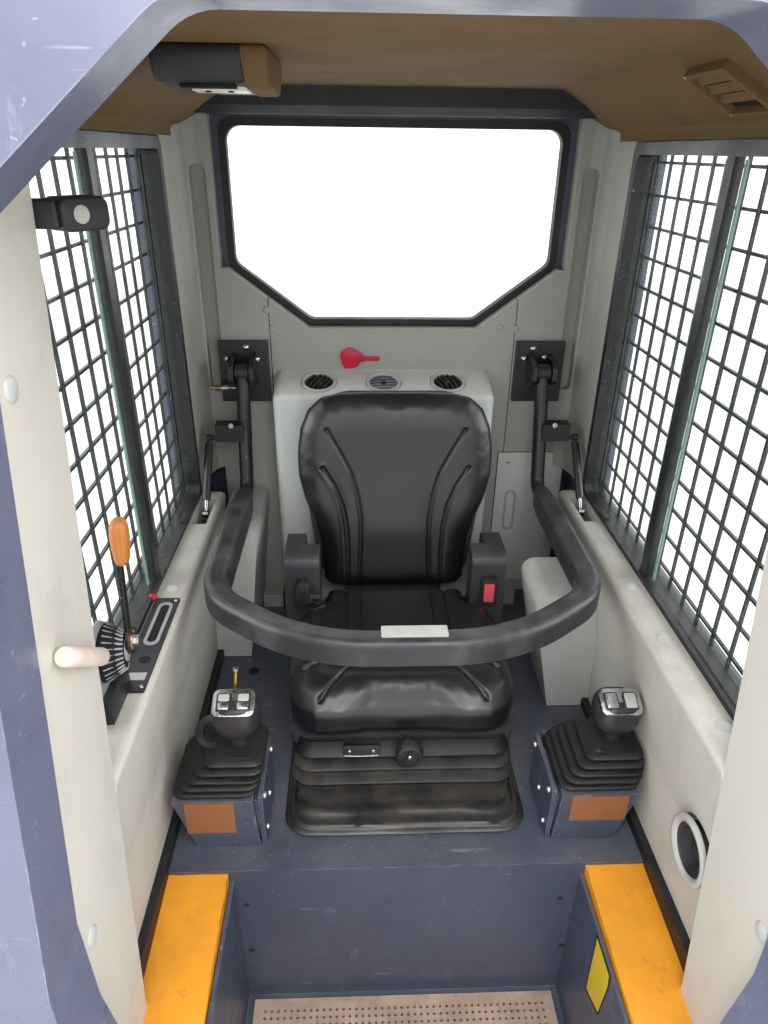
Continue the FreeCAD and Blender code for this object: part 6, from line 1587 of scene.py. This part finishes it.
@dataclass
class Trims:
    """Plugs, pressed marks and seams of the grey mouldings, the loudspeaker and the red pull."""

    coats: Coats
    bolts: Fasteners

    def plugs(self) -> None:
        """Round plugs on the walls, the sills and the pillars."""
        wall = [(-0.283, 1.155), (0.289, 1.157), (-0.294, 1.199), (0.253, 1.16)]
        spots = [((x, 0.562, z), (0, -1, 0)) for x, z in wall]
        spots += [((-0.431, 0.566, 1.571), (0.54, -0.84, 0)), ((0.431, 0.566, 1.569), (-0.54, -0.84, 0))]
        self.bolts.place("wall_plugs", Spread.PLUG, spots, Body.CAB, "trim_grey", self.coats["trim_grey"], 9, 2.6)
        spots = [((x, y, 0.807), (0, 0, 1)) for x, y in ((-0.429, 0.002), (0.428, -0.007), (0.436, -0.366),
                                                         (0.428, -0.164))]
        spots += [((-0.400, -0.463, 1.332), (1, 0, 0)), ((-0.400, -0.581, 0.705), (1, 0, 0)),
                  ((0.400, -0.593, 0.696), (-1, 0, 0))]
        self.bolts.place("sill_plugs", Spread.PLUG, spots, Body.CAB, "trim_grey", self.coats["pale_trim"], 13, 3.4)
        lower = [((x, 0.562, z), (0, -1, 0)) for x, z in ((0.318, 0.486), (0.406, 0.485), (0.309, 0.459))]
        lower += [((0.304, 0.5618, 0.815), (0, -1, 0))]
        self.bolts.place("panel_bolts", Spread.BOLT, lower, Body.CAB, "rod_chrome", self.coats["zinc"], 4.0, 2.0)

    def seams(self) -> None:
        """Seam of the right corner panel, its pressed lozenge, and the latch."""
        face = 0.5618
        # Painted light: the panel's paler grey stands in for light from the right side window on this shaded corner;
        # the panel, its seam and its lozenge are real.
        panel = Shape().block((0.2775, face - 0.0009, 0.4575), (0.4485, face + 0.0006, 0.8425))
        make("access_panel", panel, Body.CAB, "trim_grey", [self.coats["panel_grey"]], 0.4)
        seam = Shape()
        seam.block((0.276, face - 0.0006, 0.8425), (0.440, face + 0.0006, 0.8445))
        seam.block((0.275, face - 0.0006, 0.457), (0.277, face + 0.0006, 0.8440))
        make("panel_seam", seam, Body.CAB, "trim_grey", [self.coats["soot"]])
        shape = Shape()
        middle = Vector((0.319, face - 0.0009, 0.676))
        outer, inner = rounded(0.0155, 0.060, 0.0154, 7), rounded(0.0095, 0.053, 0.0094, 7)
        rings = [[middle + Vector((x, -lift, z)) for x, z in loop]
                 for loop, lift in ((outer, -0.0005), (outer, 0.0022), (inner, 0.0022), (inner, -0.0005))]
        shape.rings(rings + [rings[0]], 0, False)
        make("panel_lozenge", shape, Body.CAB, "trim_grey", [self.coats["trim_grey"]], 1.2, 60)
        latch = Shape().slab(rounded(0.007, 0.020, 0.003), (0.458, 0.257, 0.807), (1, 0, 0), (0, 1, 0), 0, 0.016)
        latch.slab(rounded(0.007, 0.020, 0.003), (-0.458, 0.257, 0.807), (1, 0, 0), (0, 1, 0), 0, 0.016)
        make("window_latches", latch, Body.CAB, "dark_moulding", [self.coats["dark_moulding"]], 2)

    def speaker(self) -> None:
        """Pale bezel, ribbed cone and cap."""
        low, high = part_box("speaker")
        middle = Vector((low.x, (low.y + high.y) / 2, (low.z + high.z) / 2))
        bezel = Shape().hollow([(39, 0), (51.5, 0), (52, -5), (50, -7.5), (45, -8), (41, -5.5), (39, -2)],
                               middle + Vector((-0.000, 0, 0)), (1, 0, 0), 56)
        made = make("speaker_bezel", bezel, Body.CAB, "trim_grey", [self.coats["pale_plastic"]], 0, 50)
        cone = Shape().lathe([(41, 28), (40, 0), (38.5, -2.2), (36, -2.6), (34, 1), (32, 2), (30, 1), (20, 10),
                              (14, 12), (12, 8), (6, 6.5), (2, 6)], middle, (1, 0, 0), 48)
        made = make("speaker_cone", cone, Body.CAB, "dark_moulding", [self.coats["dark_moulding"]], 0, 40)
        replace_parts(made, "speaker")

    def pull(self) -> None:
        """Red pull tag with its strap under the rear window."""
        low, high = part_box("escape_pull")
        middle = Vector((-0.100, high.y, 1.0875))
        shape = Shape()
        ring = []
        for step in range(30):
            turn = 2 * math.pi * step / 30
            reach = 0.0262 + 0.0016 * math.sin(turn * 3 + 1) + 0.0012 * math.sin(turn * 5)
            ring.append((reach * math.cos(turn), reach * math.sin(turn) * 0.95))
        shape.slab(ring, middle, (1, 0, 0), (0, 0, 1), 0.0003, 0.0045)
        strap = [(0.016, 0.008), (0.042, 0.004), (0.066, 0.005), (0.069, -0.001), (0.066, -0.007), (0.040, -0.006),
                 (0.016, -0.010)]
        shape.slab(strap[::-1], middle, (1, 0, 0), (0, 0, 1), 0.0003, 0.0035)
        shape.lathe([(4, 0.2), (4, 2)], middle + Vector((0.056, 0, -0.001)), (0, -1, 0), 12)
        made = make("pull_tag", shape, Body.CAB, "dark_moulding", [self.coats["red_plastic"]], 1.0, 50)
        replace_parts(made, "escape_pull")

    def build(self) -> None:
        """Make the trims' details."""
        self.plugs()
        self.seams()
        self.speaker()
        self.pull()


EXTRAS: dict[str, object] = {
    "zinc": BareMetal("zinc_plate", "#d8d6cf", 0.26),
    "brass": BareMetal("brass_fitting", "#b8934f", 0.3),
    "copper": BareMetal("copper_washer", "#b9745a", 0.35),
    "steel_blue": GrainedMoulding("vent_shutter", "#7f8b92", "#56534d", rough=0.45),
    "cast_grey": PowderedSteel("cast_drum", "#8f9298", "#b9bbbd", rough=0.42, scuffs=0.3),
    "silver": BareMetal("silver_faceplate", "#cfd0d2", 0.24),
    "pale_plastic": GrainedMoulding("pale_plastic", "#b4b5b0", "#7d7a70", rough=0.42, grain_mm=1.2, depth_mm=0.03),
    "pale_trim": GrainedMoulding("pale_plugs", "#bdbfba", "#807c72", rough=0.45, grain_mm=1.4, depth_mm=0.04),
    # Painted light: paler grey of the access panel, standing in for light from the right side window.
    "panel_grey": GrainedMoulding("access_panel_painted_light", "#c4c4bf", "#7d7a70"),
    "white_label": GrainedMoulding("blank_label", "#b4b3ad", "#8b877c", rough=0.4, depth_mm=0.01, dirty=0.45),
    "brown_sticker": GrainedMoulding("brown_sticker", "#8a5a3c", "#5d4234", rough=0.45, depth_mm=0.02, dirty=0.5),
    "yellow_sticker": GrainedMoulding("yellow_sticker", "#e8c62a", "#8f7a35", rough=0.4, depth_mm=0.01, dirty=0.5),
    "red_plastic": GrainedMoulding("red_plastic", "#c31f38", "#7d2a33", rough=0.34, grain_mm=1.0, depth_mm=0.03),
    "belt_red": GrainedMoulding("belt_button", "#d9545c", "#8d4a4c", rough=0.4, grain_mm=1.0, depth_mm=0.02),
    "orange_knob": GrainedMoulding("orange_knob", "#bd7638", "#8a6a33", rough=0.36, depth_mm=0.03, dirty=0.55),
    "nylon": GrainedMoulding("worn_nylon", "#d8c9bc", "#9c7d70", rough=0.5, depth_mm=0.05, dirty=0.6),
    "lens": GrainedMoulding("lamp_lens", "#e6ded0", "#a29078", rough=0.3, depth_mm=0.01, dirty=0.3),
    "pane_edge": GrainedMoulding("pane_cut_edge", "#7fa596", "#4e6158", rough=0.2, depth_mm=0.01, shine=0.8),
    "dusty_rubber": GrainedMoulding("bellows_rubber", "#17181b", "#756a58", rough=0.45, depth_mm=0.05, shine=0.7,
                                    dirty=0.28),
    # Near-black for black parts, dark joints and print, and painted shade in slots, holes, openings and under the mat.
    "soot": GrainedMoulding("black_parts_and_painted_shade", "#0c0c0e", "#2a2826", rough=0.8, depth_mm=0.02),
    "rust": GrainedMoulding("rusty_hole", "#3d1f18", "#1f1512", rough=0.8, grain_mm=1.5, depth_mm=0.1, dirty=0.6),
}


OWN_FINISH: dict[str, object] = {
    "vent_shelf": GrainedMoulding("pale_shelf", "#c9cdc8", "#8b877b"),
    "rear_box_left": GrainedMoulding("box_moulding_left", "#b6b6b2", "#827d72"),
    "rear_box_right": GrainedMoulding("box_moulding_right", "#b6b6b2", "#827d72"),
    # Painted light: the front frame gets a paler copy of the cab enamel, standing in for open sky lighting the front
    # pillars.
    "front_frame": PowderedSteel("front_frame_skylit_enamel", "#696e84", "#9da1b6", rough=0.34),
    "seat_shell": GrainedMoulding("shell_moulding", "#36383c", "#5d5a54", rough=0.45, shine=0.5),
    "restraint_hoop": GrainedMoulding("hoop_moulding", "#222428", "#6d6c68", rough=0.4, shine=0.55, dirty=0.35),
}


def dress_cad_nodes() -> dict[str, bpy.types.Material]:
    """Give every CAD node the finish of its record slot.

    Returns:
        Slot name to material.
    """
    made = {slot: finish.build() for slot, finish in FINISHES.items()}
    for entry in frame["record"]["subparts"]:
        node = frame["nodes"][entry["node"]]
        node.data.materials.clear()
        own = OWN_FINISH.get(entry["node"])
        node.data.materials.append(own.build() if own else made[entry["material_slot"]])
    return made


@dataclass
class Studio:
    """Floor, light and the camera at the photograph's place."""

    eye: Point = (-0.084, -1.09, 1.53)
    pitch_deg: float = 27.44
    yaw_deg: float = 2.36
    roll_deg: float = 0.75
    focal_px: float = 697.5
    image_px: tuple[int, int] = (768, 1024)

    def camera(self) -> None:
        """Make the camera."""
        pitch, yaw, roll = (math.radians(v) for v in (self.pitch_deg, self.yaw_deg, self.roll_deg))
        ahead = Vector((math.sin(yaw), math.cos(yaw), 0))
        right = Vector((math.cos(yaw), -math.sin(yaw), 0))
        up = Vector((0, 0, 1))
        look = ahead * math.cos(pitch) - up * math.sin(pitch)
        top = ahead * math.sin(pitch) + up * math.cos(pitch)
        across = right * math.cos(roll) + top * math.sin(roll)
        upright = -right * math.sin(roll) + top * math.cos(roll)
        turn = Matrix((across, upright, -look)).transposed()
        data = bpy.data.cameras.new("eye")
        data.sensor_width = 36.0
        data.lens = self.focal_px * data.sensor_width / max(self.image_px)
        data.clip_start, data.clip_end = 0.01, 100.0
        made = bpy.data.objects.new("eye", data)
        made.matrix_world = Matrix.Translation(self.eye) @ turn.to_4x4()
        bpy.context.scene.collection.objects.link(made)
        bpy.context.scene.camera = made

    def lamp(self, name: str, place: Point, target: Point, size: float, watts: float) -> None:
        """Make one soft square lamp that looks at a target."""
        data = bpy.data.lights.new(name, "AREA")
        data.size, data.energy = size, watts
        made = bpy.data.objects.new(name, data)
        made.location = place
        made.rotation_mode = "QUATERNION"
        made.rotation_quaternion = (Vector(target) - Vector(place)).to_track_quat("-Z", "Y")
        bpy.context.scene.collection.objects.link(made)

    def floor(self) -> None:
        """Make the plain pale floor."""
        mesh = bpy.data.meshes.new("floor")
        mesh.from_pydata([(-9, -9, -0.001), (9, -9, -0.001), (9, 9, -0.001), (-9, 9, -0.001)], [], [(0, 1, 2, 3)])
        made = bpy.data.objects.new("floor", mesh)
        bpy.context.scene.collection.objects.link(made)
        coat = Coat("pale_floor")
        coat.put(Roughness=0.85)
        coat.feed(Base_Color=coat.mix(coat.noise(900, 2), linear("#d9d8d4"), linear("#dedddA")))
        mesh.materials.append(coat.material)

    def build(self) -> None:
        """Make camera, lamps, world and floor."""
        self.camera()
        self.floor()
        self.lamp("front_soft", (0.0, -1.7, 2.9), (0, 0, 0.4), 1.6, 50)
        self.lamp("left_soft", (-3.2, -0.3, 2.2), (0, 0, 1.1), 2.4, 80)
        self.lamp("right_soft", (3.2, -0.3, 2.2), (0, 0, 1.1), 2.4, 80)
        world = bpy.data.worlds.new("studio")
        world.use_nodes = True
        world.node_tree.nodes["Background"].inputs["Color"].default_value = linear("#eef0f2")
        world.node_tree.nodes["Background"].inputs["Strength"].default_value = 2.2
        bpy.context.scene.world = world
        bpy.context.scene.view_settings.view_transform = "Standard"


def main() -> None:
    """Build every class in order."""
    logging.basicConfig(level=logging.INFO, format="%(message)s")
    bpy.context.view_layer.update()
    Studio().build()
    coats = Coats(dress_cad_nodes())
    bolts = Fasteners()
    Seat(coats["seat_vinyl"], coats["rubber_black"], coats["dark_moulding"], coats["zinc"], coats["belt_red"],
         coats["dusty_rubber"]).build()
    Joysticks(coats, bolts).build()
    Vents(coats).build()
    Hinges(coats, bolts).build()
    Throttle(coats, bolts).build()
    Ceiling(coats, bolts).build()
    Footwell(coats, bolts).build()
    Trims(coats, bolts).build()


if __name__ == "__main__":
    main()
